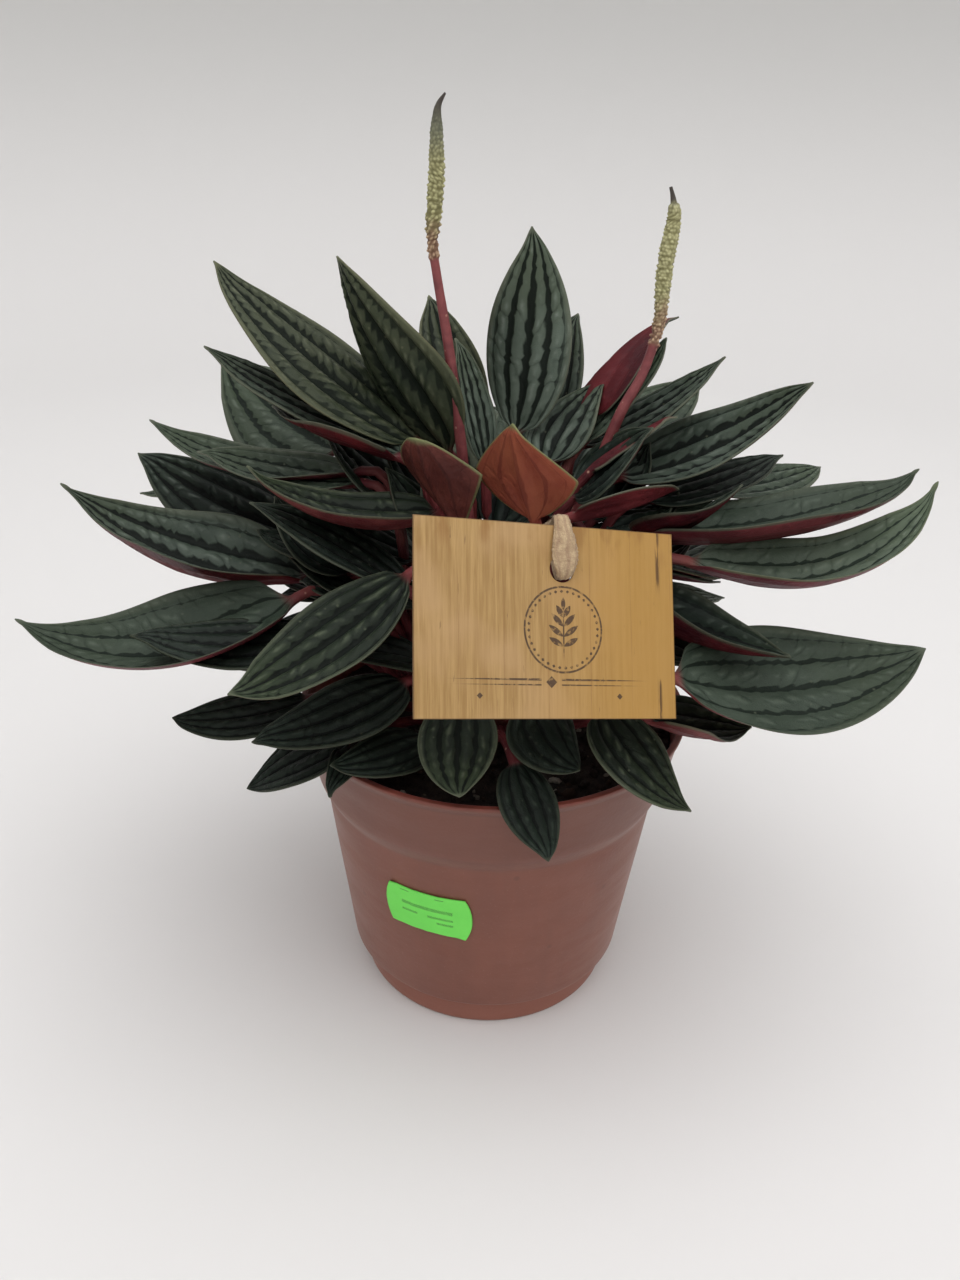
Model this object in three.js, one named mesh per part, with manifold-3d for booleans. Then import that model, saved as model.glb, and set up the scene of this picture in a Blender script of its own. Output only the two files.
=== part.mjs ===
// A ripple peperomia, a rosette of red-backed leaves on long petioles, in its nursery pot.
// Millimetres, +Z up. The origin is the centre of the pot's flat underside.
import * as THREE from 'three';
import { mergeVertices } from 'three/addons/utils/BufferGeometryUtils.js';
import Module from 'manifold-3d';

const wasm = await Module();
wasm.setup();

// Pot: a thin moulded cup with a heel, a slightly tapered body and a deep collar.
const rimRadius = 60;
const potHeight = 97;
const potWall = 1.2;
const collarBottom = 73;
const collarRadius = 55.3;
const bodyTopRadius = 52.8;
const bodyFootRadius = 45.4;
const heelHeight = 10;
const heelRadius = 41.5;
const heelFlare = 0.6;
const collarLedge = 1;
const rimBand = 3;
const rimRound = 0.6;
const rimLip = 2;
const drainRing = 30;
const drainRadius = 4;
const drainCount = 6;
const drainSides = 12;
const potSegments = 40;

// Soil fills the pot to a finger's width below the rim.
const soilGap = 0.3;
const soilEdgeHeight = 88;
const soilTop = 90.2;
const soilSegments = 32;
const soilSteps = [{ radius: 47, rise: 0.8 }, { radius: 36, rise: 1 }, { radius: 26, rise: 1.2 }];
const crumbleDepth = 0.8;

// Crown: the short thick stem that every petiole grows from.
const crownFoot = 90.5;
const crownFootRadius = 14;
const crownTop = 112.4;
const crownTopRadius = 2.5;
const crownSegments = 24;
const crownRings = {
  low: { radius: 15.5, height: 94.5, rise: 5 },
  middle: { radius: 14.6, height: 100.5, rise: 25 },
  high: { radius: 11.6, height: 106.5, rise: 48 },
  top: { radius: 6.4, height: 110.8, rise: 72 },
};
const seatGap = 0.3;

// Leaves and their petioles.
const petioleRadius = 1.6;
const petioleThickness = 2.72;
const petioleBend = 0.32;
const bladeThickness = 1.1;
const bladeRise = 0.55;
const bladeFall = 0.85;
const stemBlend = 0.17;
const leafTip = { halfWidth: 0.3, thickness: 0.4 };
const petioleSteps = [0, 0.22, 0.45, 0.7, 0.9];
const bladeSteps = [0, 0.07, 0.17, 0.29, 0.42, 0.56, 0.7, 0.83, 0.93, 1];

// Flower spikes, as points from the crown up to the tip. The tail starts at a share of the spike's length,
// swells over the first part of its own length, and narrows again from tailEnd on. The stalk is slimmer at its
// foot, between the petioles.
const stalkFootRadius = 1.1;
const stalkRadius = 1.6;
const stalkFoot = [0.15, 0.4];
const stalkStart = 8;
const tailSwell = 0.12;
const tailNarrowing = 0.4;
const tipShare = 0.4;
const spikeSteps = 30;
const spikeSides = 6;
const leftSpike = {
  root: [150, 'top'],
  route: [
    [-7, 2, 140],
    [-10, 2, 172],
    [-12, 0, 191],
    [-15, -1, 206],
    [-18, -2, 226],
    [-19, -2, 238],
    [-18, -3, 255],
    [-16, -4, 265],
  ],
  tailStart: 0.76,
  tailEnd: 0.55,
  tailRadius: 2,
};
const rightSpike = {
  root: [-20, 'top'],
  route: [
    [14, -2, 138],
    [26, 2, 170],
    [33, 4, 189],
    [39, 6, 203],
    [42, 7, 219],
    [43, 8, 237],
    [42, 8, 245],
  ],
  tailStart: 0.68,
  tailEnd: 0.84,
  tailRadius: 2.3,
};

// Price label on the pot and card on its tie.
const labelSize = [26, 16];
const labelThickness = 0.5;
const labelAzimuth = -111;
const labelHeight = 50;
const labelColumns = 8;
const cardSize = [71, 48];
const cardThickness = 1;
const cardCentre = [12.7, -54, 150];
const cardTurn = { pitch: -30.4, roll: 11.8, yaw: 26.1 };
const cardHole = [3.3, 13.1];
const cardHoleRadius = 3.4;
const cardHoleSegments = 16;

// Tie: points of its loop, with its half width and half thickness there.
const tieSteps = 44;
const tieSides = 6;
const tieRoute = [
  [15.3, -45.9, 160.5, 2.2, 0.7],
  [16, -47.4, 162.6, 2.4, 0.7],
  [15.7, -45.2, 167, 3, 0.7],
  [15.1, -41.9, 171.6, 3, 0.7],
  [14.3, -38.2, 172.4, 2.6, 0.7],
  [12.4, -33.5, 170, 1.6, 0.8],
  [9, -28, 164.6, 1, 0.9],
  [7.4, -22.8, 159.8, 0.9, 0.9],
  [10.6, -19, 158, 0.9, 0.9],
  [13.8, -22.6, 156.6, 0.9, 0.9],
  [14.6, -31, 157, 1.2, 0.9],
  [15, -41, 158.4, 2, 0.7],
];

const rad = THREE.MathUtils.degToRad;
const up = new THREE.Vector3(0, 0, 1);
const plant = new THREE.Group();

// Point from its azimuth in degrees, reach from the plant's axis and height above the table.
function polar([azimuth, reach, height]) {
  return new THREE.Vector3(reach * Math.cos(rad(azimuth)), reach * Math.sin(rad(azimuth)), height);
}

function material(color, roughness, metalness = 0) {
  return new THREE.MeshStandardMaterial({ color, roughness, metalness });
}

function addPart(name, geometry, look) {
  const mesh = new THREE.Mesh(geometry, look);
  mesh.name = name;
  plant.add(mesh);
  return mesh;
}

// Closed skin over a row of rings of equally many points. An open row gets a fan over each end.
function loft(rings, closed = false) {
  const count = rings[0].length;
  const points = rings.flat();
  const index = [];
  const spans = closed ? rings.length : rings.length - 1;
  for (let i = 0; i < spans; i += 1) {
    const near = i * count;
    const far = ((i + 1) % rings.length) * count;
    for (let j = 0; j < count; j += 1) {
      const next = (j + 1) % count;
      index.push(near + j, far + next, near + next);
      index.push(near + j, far + j, far + next);
    }
  }
  if (!closed) {
    const last = (rings.length - 1) * count;
    for (let j = 1; j < count - 1; j += 1) {
      index.push(0, j, j + 1);
      index.push(last, last + j + 1, last + j);
    }
  }
  const geometry = new THREE.BufferGeometry().setFromPoints(points);
  geometry.setIndex(index);
  geometry.computeVertexNormals();
  return geometry;
}

// Directions across a path: side lies level to the right of the way it runs, face looks up from it. Both are
// then rolled round the path.
function crossFrame(direction, rollDegrees) {
  const side = new THREE.Vector3().crossVectors(direction, up).normalize();
  const face = new THREE.Vector3().crossVectors(side, direction).normalize();
  const roll = rad(rollDegrees);
  return {
    side: side.clone().multiplyScalar(Math.cos(roll)).addScaledVector(face, -Math.sin(roll)),
    face: face.clone().multiplyScalar(Math.cos(roll)).addScaledVector(side, Math.sin(roll)),
  };
}

// Place of a petiole's or flower stalk's root on the crown, and the direction it leaves in.
function crownRoot(azimuth, ringName) {
  const ring = crownRings[ringName];
  const out = polar([azimuth, Math.cos(rad(ring.rise)), Math.sin(rad(ring.rise))]);
  const point = polar([azimuth, ring.radius, ring.height]).addScaledVector(out, seatGap);
  return { point, out };
}

// Leaf: name, root azimuth, crown ring, blade base, blade tip, width, arch, sway, roll, cup.
// Base and tip are azimuth, reach and height. Arch lifts the blade's middle off its chord and sway pushes it
// to its right, both in mm. Roll turns the face to the right of the way it points, in degrees. Cup is how far
// the edges stand above the midrib, as a share of the half width.
const leafTable = [
  // Youngest leaves, upright in the middle.
  ['leaf_young_centre', -58, 'top', [-56, 20, 162], [-77, 9, 186], 36, -5, 0, 0, 0.3],
  ['leaf_young_left', -140, 'top', [-96, 22, 165], [-174, 25, 179], 24, -5, 2, 65, 0.35],
  ['leaf_top_back', 76, 'top', [69, 15, 177], [70, 21, 234], 24, 1, 1, 15, 0.1],
  ['leaf_small_inner_left', 120, 'top', [117, 10, 170], [127, 22, 204], 14, 1, 0, 5, 0.2],
  ['leaf_small_inner_right', 10, 'top', [13, 14, 172], [31, 35, 193], 22, 1, -2, -5, 0.15],
  // High tier.
  ['leaf_upper_left', 160, 'high', [165, 26, 177], [162, 87, 222], 28, -3, 1, -5, 0.1],
  ['leaf_upper_left_inner', 130, 'high', [157, 15, 173], [159, 48, 225], 31, -4, -1, 40, 0.45],
  ['leaf_behind_left_spike', 103, 'high', [99, 18, 173], [120, 44, 212], 21, 1, -2, 0, 0.15],
  ['leaf_behind_top', 60, 'high', [56, 26, 174], [59, 43, 207], 17, 2, 0, -5, 0.2],
  ['leaf_red_back_right', 33, 'high', [21, 26, 180], [33, 61, 209], 24, 3, -1, 140, 0.15],
  ['leaf_upper_right', 5, 'high', [34, 25, 173], [24, 71, 199], 20, -3, -1, 5, 0.15],
  ['leaf_big_right', -22, 'high', [24, 41, 162], [6, 87, 196], 31, -5, 2, 10, 0.55],
  ['leaf_red_edged', -50, 'high', [11, 30, 163], [7, 49, 188], 12, 1, 1, 20, 0.25],
  ['leaf_red_tongue', -78, 'high', [-50, 30, 166], [-13, 50, 171], 14, 1, 4, -45, 0.2],
  ['leaf_olive_left', -112, 'high', [-152, 25, 163], [-164, 71, 176], 18, -5, 0, -5, 0.3],
  ['leaf_red_left', -145, 'high', [-163, 28, 180], [166, 69, 184], 18, -1, -1, 45, 0.1],
  ['leaf_left_high', -177, 'high', [167, 34, 177], [168, 87, 200], 24, 2, 0, 5, 0.1],
  // Middle tier.
  ['leaf_back_left_broad', 148, 'middle', [151, 56, 167], [145, 110, 187], 32, -8, 5, -25, 0.05],
  ['leaf_left_folded', 168, 'middle', [172, 40, 168], [160, 118, 171], 21, -8, -1, -5, 0.45],
  ['leaf_dark_left', -156, 'middle', [172, 61, 146], [178, 104, 171], 25, 1, -5, -25, 0.1],
  ['leaf_long_left', -128, 'middle', [-176, 56, 140], [175, 132, 160], 29, -4, 0, -12, 0.25],
  ['leaf_shaded_left', -109, 'middle', [-138, 33, 143], [-165, 70, 166], 22, 1, 0, -5, 0.2],
  ['leaf_upturned_right', -60, 'middle', [-25, 56, 154], [-2, 124, 171], 21, -12, 7, 15, 0.5],
  ['leaf_long_right', -34, 'middle', [-11, 44, 152], [3, 123, 170], 31, -4, 7, -15, 0.6],
  ['leaf_red_right', -16, 'middle', [-2, 41, 153], [-18, 67, 175], 17, -3, 3, 0, 0.25],
  ['leaf_dark_right', 8, 'middle', [8, 42, 161], [14, 88, 171], 20, -2, 2, 15, 0.15],
  ['leaf_pale_right', 28, 'middle', [25, 71, 156], [28, 124, 156], 24, -1, -1, 15, 0.2],
  ['leaf_behind_right', 48, 'middle', [42, 46, 172], [41, 87, 185], 25, -2, -2, 15, 0.15],
  ['leaf_back_middle_right', 68, 'middle', [62, 44, 150], [66, 112, 163], 26, 6, 0, 0, 0.2],
  ['leaf_back_middle', 92, 'middle', [90, 42, 148], [92, 115, 160], 28, 6, 0, 5, 0.2],
  ['leaf_back_middle_left', 118, 'middle', [120, 46, 152], [122, 112, 166], 26, 6, 0, 0, 0.2],
  // Low tier, over the pot's rim.
  ['leaf_front_left', -92, 'middle', [-122, 41, 152], [-137, 91, 129], 28, -3, 0, -20, 0.2],
  ['leaf_low_left_inner', -176, 'low', [-152, 56, 136], [-161, 105, 134], 23, -3, 0, -10, 0.05],
  ['leaf_low_left', -190, 'low', [-172, 60, 135], [-171, 139, 130], 28, -9, -6, -14, 0.25],
  ['leaf_back_left_low', 156, 'low', [159, 84, 148], [155, 136, 140], 20, 3, 0, 0, 0.2],
  ['leaf_rim_left_outer', -163, 'low', [-153, 59, 110], [-161, 97, 105], 18, -1, -2, -20, 0.15],
  ['leaf_rim_left', -137, 'low', [-127, 39, 118], [-145, 80, 108], 22, 1, -5, -15, 0.15],
  ['leaf_rim_left_lower', -150, 'low', [-139, 54, 103], [-156, 78, 83], 21, 1, 0, -20, 0.15],
  ['leaf_rim_front_left', -111, 'low', [-121, 38, 102], [-129, 69, 104], 18, 1, -3, -20, 0.15],
  ['leaf_rim_small', -124, 'low', [-141, 51, 95], [-131, 68, 94], 9, 4, -3, -15, 0.15],
  ['leaf_rim_front', -97, 'low', [-103, 42, 118], [-98, 64, 104], 23, 0, 0, 15, 0.1],
  ['leaf_over_rim', -84, 'low', [-83, 44, 107], [-78, 75, 91], 18, -1, 0, 0, 0.1],
  ['leaf_rim_front_right', -71, 'low', [-77, 42, 119], [-65, 57, 106], 22, -3, 1, 5, 0],
  ['leaf_rim_right', -58, 'low', [-55, 50, 117], [-49, 79, 98], 22, 0, 3, 0, 0.1],
  ['leaf_low_right', -45, 'low', [-42, 57, 117], [-26, 81, 109], 17, -1, -1, -8, 0.25],
  ['leaf_broad_right', -26, 'low', [-46, 65, 132], [-16, 122, 133], 37, -7, -1, 25, 0.25],
  ['leaf_right_folded', -13, 'low', [-37, 54, 147], [-33, 90, 140], 20, -2, -3, 5, 0.2],
  ['leaf_small_dark', 1, 'low', [-22, 46, 145], [-11, 66, 143], 13, 2, 0, 0, 0.2],
  ['leaf_pale_small', 14, 'low', [-8, 42, 138], [5, 68, 140], 16, 2, 0, 10, 0.2],
  ['leaf_back_low_right', 36, 'low', [34, 50, 125], [36, 106, 128], 26, 6, 0, 0, 0.2],
  ['leaf_back_low', 74, 'low', [74, 50, 120], [72, 112, 116], 27, 7, 0, 0, 0.2],
  ['leaf_back_low_left', 116, 'low', [112, 50, 120], [110, 110, 118], 27, 7, 0, 0, 0.2],
];

// Half width of a blade at a share t of its length: t^rise (1 - t)^fall, scaled to 1 at its widest.
function bladeFullness(t) {
  const widest = bladeRise / (bladeRise + bladeFall);
  return (t / widest) ** bladeRise * ((1 - t) / (1 - widest)) ** bladeFall;
}

// Six points round the midline: two edges, and a pair above and below it.
function leafRing(centre, frame, halfWidth, thickness, lift) {
  const at = (across, high) => centre.clone()
    .addScaledVector(frame.side, across * halfWidth)
    .addScaledVector(frame.face, lift * halfWidth * across * across + high);
  return [
    at(-1, 0),
    at(-0.5, -thickness / 2),
    at(0.5, -thickness / 2),
    at(1, 0),
    at(0.5, thickness / 2),
    at(-0.5, thickness / 2),
  ];
}

function leafGeometry(rootAzimuth, ringName, basePlace, tipPlace, width, arch, sway, roll, cup) {
  const root = crownRoot(rootAzimuth, ringName);
  const base = polar(basePlace);
  const tip = polar(tipPlace);
  const chord = new THREE.Vector3().subVectors(tip, base);
  const level = crossFrame(chord.clone().normalize(), 0);
  const control = base.clone().add(tip).multiplyScalar(0.5)
    .addScaledVector(level.face, 2 * arch)
    .addScaledVector(level.side, 2 * sway);
  const blade = new THREE.QuadraticBezierCurve3(base, control, tip);
  const reach = root.point.distanceTo(base);
  const petiole = new THREE.CubicBezierCurve3(
    root.point,
    root.point.clone().addScaledVector(root.out, petioleBend * reach),
    base.clone().addScaledVector(blade.getTangent(0), -petioleBend * reach),
    base,
  );
  const rings = petioleSteps.map((s) => leafRing(
    petiole.getPoint(s),
    crossFrame(petiole.getTangent(s), roll * s),
    petioleRadius,
    petioleThickness,
    0,
  ));
  for (const t of bladeSteps) {
    const least = t < 0.5 ? petioleRadius : leafTip.halfWidth;
    const half = Math.max(bladeFullness(t) * width / 2, least);
    const thickness = THREE.MathUtils.lerp(petioleThickness, bladeThickness, Math.min(1, t / stemBlend));
    rings.push(leafRing(
      blade.getPoint(t),
      crossFrame(blade.getTangent(t), roll),
      half,
      t < 1 ? thickness : leafTip.thickness,
      cup,
    ));
  }
  return loft(rings);
}

const darkLeaf = material(0x3c4a40, 0.5);
for (const [name, ...shape] of leafTable) {
  addPart(name, leafGeometry(...shape), darkLeaf.clone());
}

// Lathe round +Z from a profile of (radius, height).
function lathe(profile, segments) {
  const geometry = new THREE.LatheGeometry(profile, segments);
  geometry.rotateX(Math.PI / 2);
  return geometry;
}

// Solid for cutting, from a closed geometry whose doubled points are welded.
function solid(geometry) {
  const weld = 1e-3;
  const bare = geometry.clone();
  bare.deleteAttribute('normal');
  bare.deleteAttribute('uv');
  const merged = mergeVertices(bare, weld);
  return new wasm.Manifold(new wasm.Mesh({
    numProp: 3,
    vertProperties: new Float32Array(merged.attributes.position.array),
    triVerts: new Uint32Array(merged.index.array),
  }));
}

// Geometry of a cut solid.
function surface(cut) {
  const mesh = cut.getMesh();
  const geometry = new THREE.BufferGeometry();
  geometry.setAttribute('position', new THREE.BufferAttribute(mesh.vertProperties, 3));
  geometry.setIndex(new THREE.BufferAttribute(mesh.triVerts, 1));
  geometry.computeVertexNormals();
  return geometry;
}

// Pot: one moulded shell with drain holes through its floor.
function potGeometry() {
  const outside = [
    [0, 0],
    [heelRadius - 1, 0],
    [heelRadius, 1],
    [heelRadius + heelFlare, heelHeight],
    [bodyFootRadius, heelHeight + 1],
    [bodyTopRadius, collarBottom - collarLedge],
    [collarRadius, collarBottom + collarLedge],
    [rimRadius - 1, potHeight - rimBand],
    [rimRadius, potHeight - rimBand + 1],
    [rimRadius, potHeight - rimRound],
    [rimRadius - rimRound, potHeight],
  ];
  const inside = [
    [rimRadius - rimLip + rimRound, potHeight],
    [rimRadius - rimLip, potHeight - rimRound],
    [collarRadius - potWall, collarBottom + collarLedge + 0.4],
    [bodyTopRadius - potWall, collarBottom - collarLedge + 0.4],
    [bodyFootRadius - potWall, heelHeight + 2],
    [heelRadius + heelFlare - potWall, heelHeight + 1],
    [heelRadius - potWall, potWall + 1],
    [heelRadius - potWall - 1, potWall],
    [0, potWall],
  ];
  const profile = [...outside, ...inside].map(([radius, height]) => new THREE.Vector2(radius, height));
  let shell = solid(lathe(profile, potSegments));
  for (let i = 0; i < drainCount; i += 1) {
    const hole = new THREE.CylinderGeometry(drainRadius, drainRadius, 4 * potWall, drainSides);
    hole.rotateX(Math.PI / 2);
    const place = polar([(i + 0.5) * 360 / drainCount, drainRing, 0]);
    hole.translate(place.x, place.y, place.z);
    shell = shell.subtract(solid(hole));
  }
  return surface(shell);
}

// Soil: fills the pot a little clear of its wall, with a crumbly top that rises a little to the middle.
function soilGeometry() {
  const clear = potWall + soilGap;
  const profile = [
    [0, clear],
    [heelRadius - clear - 1, clear],
    [heelRadius - clear, clear + 1],
    [heelRadius + heelFlare - clear, heelHeight + 1.4],
    [bodyFootRadius - clear, heelHeight + 2.4],
    [bodyTopRadius - clear, collarBottom - 0.2],
    [collarRadius - clear, collarBottom + 1.8],
    [collarRadius - clear + 2.4, soilEdgeHeight],
    ...soilSteps.map(({ radius, rise }) => [radius, soilEdgeHeight + rise]),
    [crownFootRadius + 1, soilTop],
    [0, soilTop],
  ].map(([radius, height]) => new THREE.Vector2(radius, height));
  const geometry = lathe(profile, soilSegments);
  const place = geometry.attributes.position;
  for (let i = 0; i < place.count; i += 1) {
    const x = place.getX(i);
    const y = place.getY(i);
    const reach = Math.hypot(x, y);
    if (place.getZ(i) > soilEdgeHeight && reach > crownFootRadius + 2) {
      const crumble = crumbleDepth * Math.sin(0.31 * x + 1.7) * Math.cos(0.27 * y - 0.4);
      place.setZ(i, place.getZ(i) + crumble);
    }
  }
  return geometry;
}

// Crown: a low dome of packed leaf bases that stands on the soil.
function crownGeometry() {
  const profile = [[0, crownFoot], [crownFootRadius, crownFoot]];
  for (const ring of Object.values(crownRings)) {
    profile.push([ring.radius, ring.height]);
  }
  profile.push([crownTopRadius, crownTop], [0, crownTop]);
  return lathe(profile.map(([radius, height]) => new THREE.Vector2(radius, height)), crownSegments);
}

// Oval ring of points round a centre, turning the way that loft needs.
function oval(centre, frame, halfWidth, halfThickness, count) {
  const ring = [];
  for (let j = 0; j < count; j += 1) {
    const turn = 2 * Math.PI * j / count;
    ring.push(centre.clone()
      .addScaledVector(frame.side, -halfWidth * Math.cos(turn))
      .addScaledVector(frame.face, -halfThickness * Math.sin(turn)));
  }
  return ring;
}

// Flower spike: a bare stalk that carries a thicker beaded tail, ending in a thin withered tip.
function spikeGeometry({ root, route, tailStart, tailEnd, tailRadius }) {
  const { point, out } = crownRoot(...root);
  const path = new THREE.CatmullRomCurve3([
    point.clone().addScaledVector(out, seatGap),
    point.clone().addScaledVector(out, stalkStart),
    ...route.map((place) => new THREE.Vector3(...place)),
  ]);
  const rings = [];
  for (let i = 0; i <= spikeSteps; i += 1) {
    const s = i / spikeSteps;
    const tail = (s - tailStart) / (1 - tailStart);
    const narrowing = THREE.MathUtils.smoothstep(tail, tailEnd, Math.min(1, tailEnd + tailNarrowing));
    const swell = THREE.MathUtils.smoothstep(tail, 0, tailSwell) * (1 - narrowing);
    const taper = THREE.MathUtils.lerp(1, tipShare, narrowing);
    const grown = THREE.MathUtils.smoothstep(s, ...stalkFoot);
    const stalk = THREE.MathUtils.lerp(stalkFootRadius, stalkRadius, grown);
    const radius = stalk * taper + (tailRadius - stalk) * swell;
    rings.push(oval(path.getPointAt(s), crossFrame(path.getTangentAt(s), 0), radius, radius, spikeSides));
  }
  return loft(rings);
}

// Price label: a thin curved patch that follows the pot's body.
function labelGeometry() {
  const [width, height] = labelSize;
  const place = (u, v, out) => {
    const z = labelHeight + v;
    const body = THREE.MathUtils.mapLinear(z, heelHeight, collarBottom, bodyFootRadius, bodyTopRadius);
    const radius = body + seatGap + out;
    return polar([labelAzimuth + THREE.MathUtils.radToDeg(u / radius), radius, z]);
  };
  const rings = [];
  for (let i = 0; i <= labelColumns; i += 1) {
    const u = (i / labelColumns - 0.5) * width;
    rings.push([
      place(u, -height / 2, labelThickness),
      place(u, height / 2, labelThickness),
      place(u, height / 2, 0),
      place(u, -height / 2, 0),
    ]);
  }
  return loft(rings);
}

// Card: a flat rectangle with a hole for its tie. Its own frame has X to the right, Z up and its front to -Y.
function cardGeometry() {
  const [width, height] = cardSize;
  const outline = new THREE.Shape([
    new THREE.Vector2(-width / 2, -height / 2),
    new THREE.Vector2(width / 2, -height / 2),
    new THREE.Vector2(width / 2, height / 2),
    new THREE.Vector2(-width / 2, height / 2),
  ]);
  const hole = new THREE.Path();
  hole.absarc(cardHole[0], cardHole[1], cardHoleRadius, 0, 2 * Math.PI, true);
  outline.holes.push(hole);
  const geometry = new THREE.ExtrudeGeometry(outline, {
    depth: cardThickness,
    bevelEnabled: false,
    curveSegments: cardHoleSegments,
  });
  geometry.translate(0, 0, -cardThickness / 2);
  geometry.rotateX(Math.PI / 2);
  return geometry;
}

// Tie: a closed loop of fibre ribbon that goes through the card's hole and round the petiole behind it.
function tieGeometry() {
  const places = tieRoute.map(([x, y, z]) => new THREE.Vector3(x, y, z));
  const path = new THREE.CatmullRomCurve3(places, true);
  const sizes = new THREE.CatmullRomCurve3(tieRoute.map((row) => new THREE.Vector3(row[3], row[4], 0)), true);
  const total = places.reduce((sum, place) => sum.add(place), new THREE.Vector3());
  const middle = total.divideScalar(places.length);
  const rings = [];
  for (let i = 0; i < tieSteps; i += 1) {
    const s = i / tieSteps;
    const centre = path.getPoint(s);
    const along = path.getTangent(s);
    const side = new THREE.Vector3().crossVectors(along, middle.clone().sub(centre)).normalize();
    const face = new THREE.Vector3().crossVectors(side, along).normalize();
    const size = sizes.getPoint(s);
    rings.push(oval(centre, { side, face }, size.x, size.y, tieSides));
  }
  return loft(rings, true);
}

const terracotta = material(0x82554b, 0.55);
const darkSoil = material(0x17120f, 0.95);
const redStem = material(0x7c3a3c, 0.5);
const fibre = material(0xc4a183, 0.8);
const wood = material(0xc39a54, 0.6);
const greenPaper = material(0x5ae15a, 0.6);
const paleSpike = material(0x9aa070, 0.6);

addPart('pot', potGeometry(), terracotta);
addPart('soil', soilGeometry(), darkSoil);
addPart('crown', crownGeometry(), redStem);
addPart('price_label', labelGeometry(), greenPaper);
addPart('flower_spike_left', spikeGeometry(leftSpike), paleSpike);
addPart('flower_spike_right', spikeGeometry(rightSpike), paleSpike);

addPart('tie', tieGeometry(), fibre);

const card = addPart('name_card', cardGeometry(), wood);
card.position.set(...cardCentre);
card.rotation.set(rad(cardTurn.pitch), rad(cardTurn.roll), rad(cardTurn.yaw), 'ZXY');

export default plant;
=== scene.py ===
import functools
import math

import bpy
import numpy as np
from mathutils import Matrix, Vector


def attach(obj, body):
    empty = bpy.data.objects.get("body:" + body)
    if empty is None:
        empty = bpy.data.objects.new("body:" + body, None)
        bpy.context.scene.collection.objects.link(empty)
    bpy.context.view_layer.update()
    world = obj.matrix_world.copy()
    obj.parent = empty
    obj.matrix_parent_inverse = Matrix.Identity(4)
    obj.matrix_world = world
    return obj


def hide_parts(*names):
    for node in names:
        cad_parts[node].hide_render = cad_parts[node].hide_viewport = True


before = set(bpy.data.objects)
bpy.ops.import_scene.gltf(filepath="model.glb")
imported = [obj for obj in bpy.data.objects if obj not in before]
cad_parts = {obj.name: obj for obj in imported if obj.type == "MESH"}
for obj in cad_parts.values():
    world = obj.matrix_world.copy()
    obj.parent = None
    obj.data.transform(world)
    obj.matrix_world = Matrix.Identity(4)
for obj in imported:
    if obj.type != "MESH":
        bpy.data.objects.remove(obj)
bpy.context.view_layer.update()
scene = bpy.context.scene
metre = 0.001  # one millimetre in metres
upward = np.array([0.0, 0.0, 1.0])


# ---- camera ----
sight = {"place": (-4.4, -283.0, 261.0), "pitch": 27.0, "roll": 1.5, "focal": 1035.0, "longSide": 1280.0}


def addCamera(spec):
    # Raised from looking at the floor by 90 degrees less the pitch, after a roll about the line of sight.
    data = bpy.data.cameras.new("plantCamera")
    data.sensor_width = 36.0
    data.lens = spec["focal"] / spec["longSide"] * data.sensor_width
    data.clip_start, data.clip_end = 0.01, 50.0
    camera = bpy.data.objects.new("plantCamera", data)
    tilt = Matrix.Rotation(math.radians(90 - spec["pitch"]), 4, "X")
    roll = Matrix.Rotation(math.radians(spec["roll"]), 4, "Z")
    camera.matrix_world = Matrix.Translation(Vector(spec["place"]) * metre) @ tilt @ roll
    scene.collection.objects.link(camera)
    scene.camera = camera


addCamera(sight)
print("camera placed")


# ---- meshes ----
def ringFaces(rows, columns):
    # Quad (row, column), (row, next), (row below, next), (row below, column). The last column joins the first.
    i, j = np.meshgrid(np.arange(rows - 1) * columns, np.arange(columns), indexing="ij")
    k = (j + 1) % columns
    return np.stack([i + j, i + k, i + columns + k, i + columns + j], -1).reshape(-1, 4)


def tubeFaces(rows, columns):
    # A ring grid and a fan of triangles at each end. The fans' centres come after the grid's points.
    total = rows * columns
    here = np.arange(columns)
    there = (here + 1) % columns
    first = np.stack([here * 0 + total, there, here], -1)
    last = np.stack([here * 0 + total + 1, total - columns + here, total - columns + there], -1)
    return [ringFaces(rows, columns), first, last]


def withEnds(grid):
    # Flattens a (rows, columns, n) grid and adds the mean of its first and last row.
    return np.concatenate([grid.reshape(-1, grid.shape[-1]), grid[:1].mean(1), grid[-1:].mean(1)])


def sealed(grid, fields):
    # The points, faces and masks of a ring grid closed at both ends. Each field is spread over the grid.
    size = grid.shape[:2]
    masks = {key: withEnds(np.broadcast_to(value, size)[..., None])[:, 0] for key, value in fields.items()}
    return withEnds(grid), tubeFaces(*size), masks


def ringGrid(centre, side, face, x, y):
    # Points centre + side x + face y, one ring for each centre.
    return centre[:, None] + side[:, None] * x[..., None] + face[:, None] * y[..., None]


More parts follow.
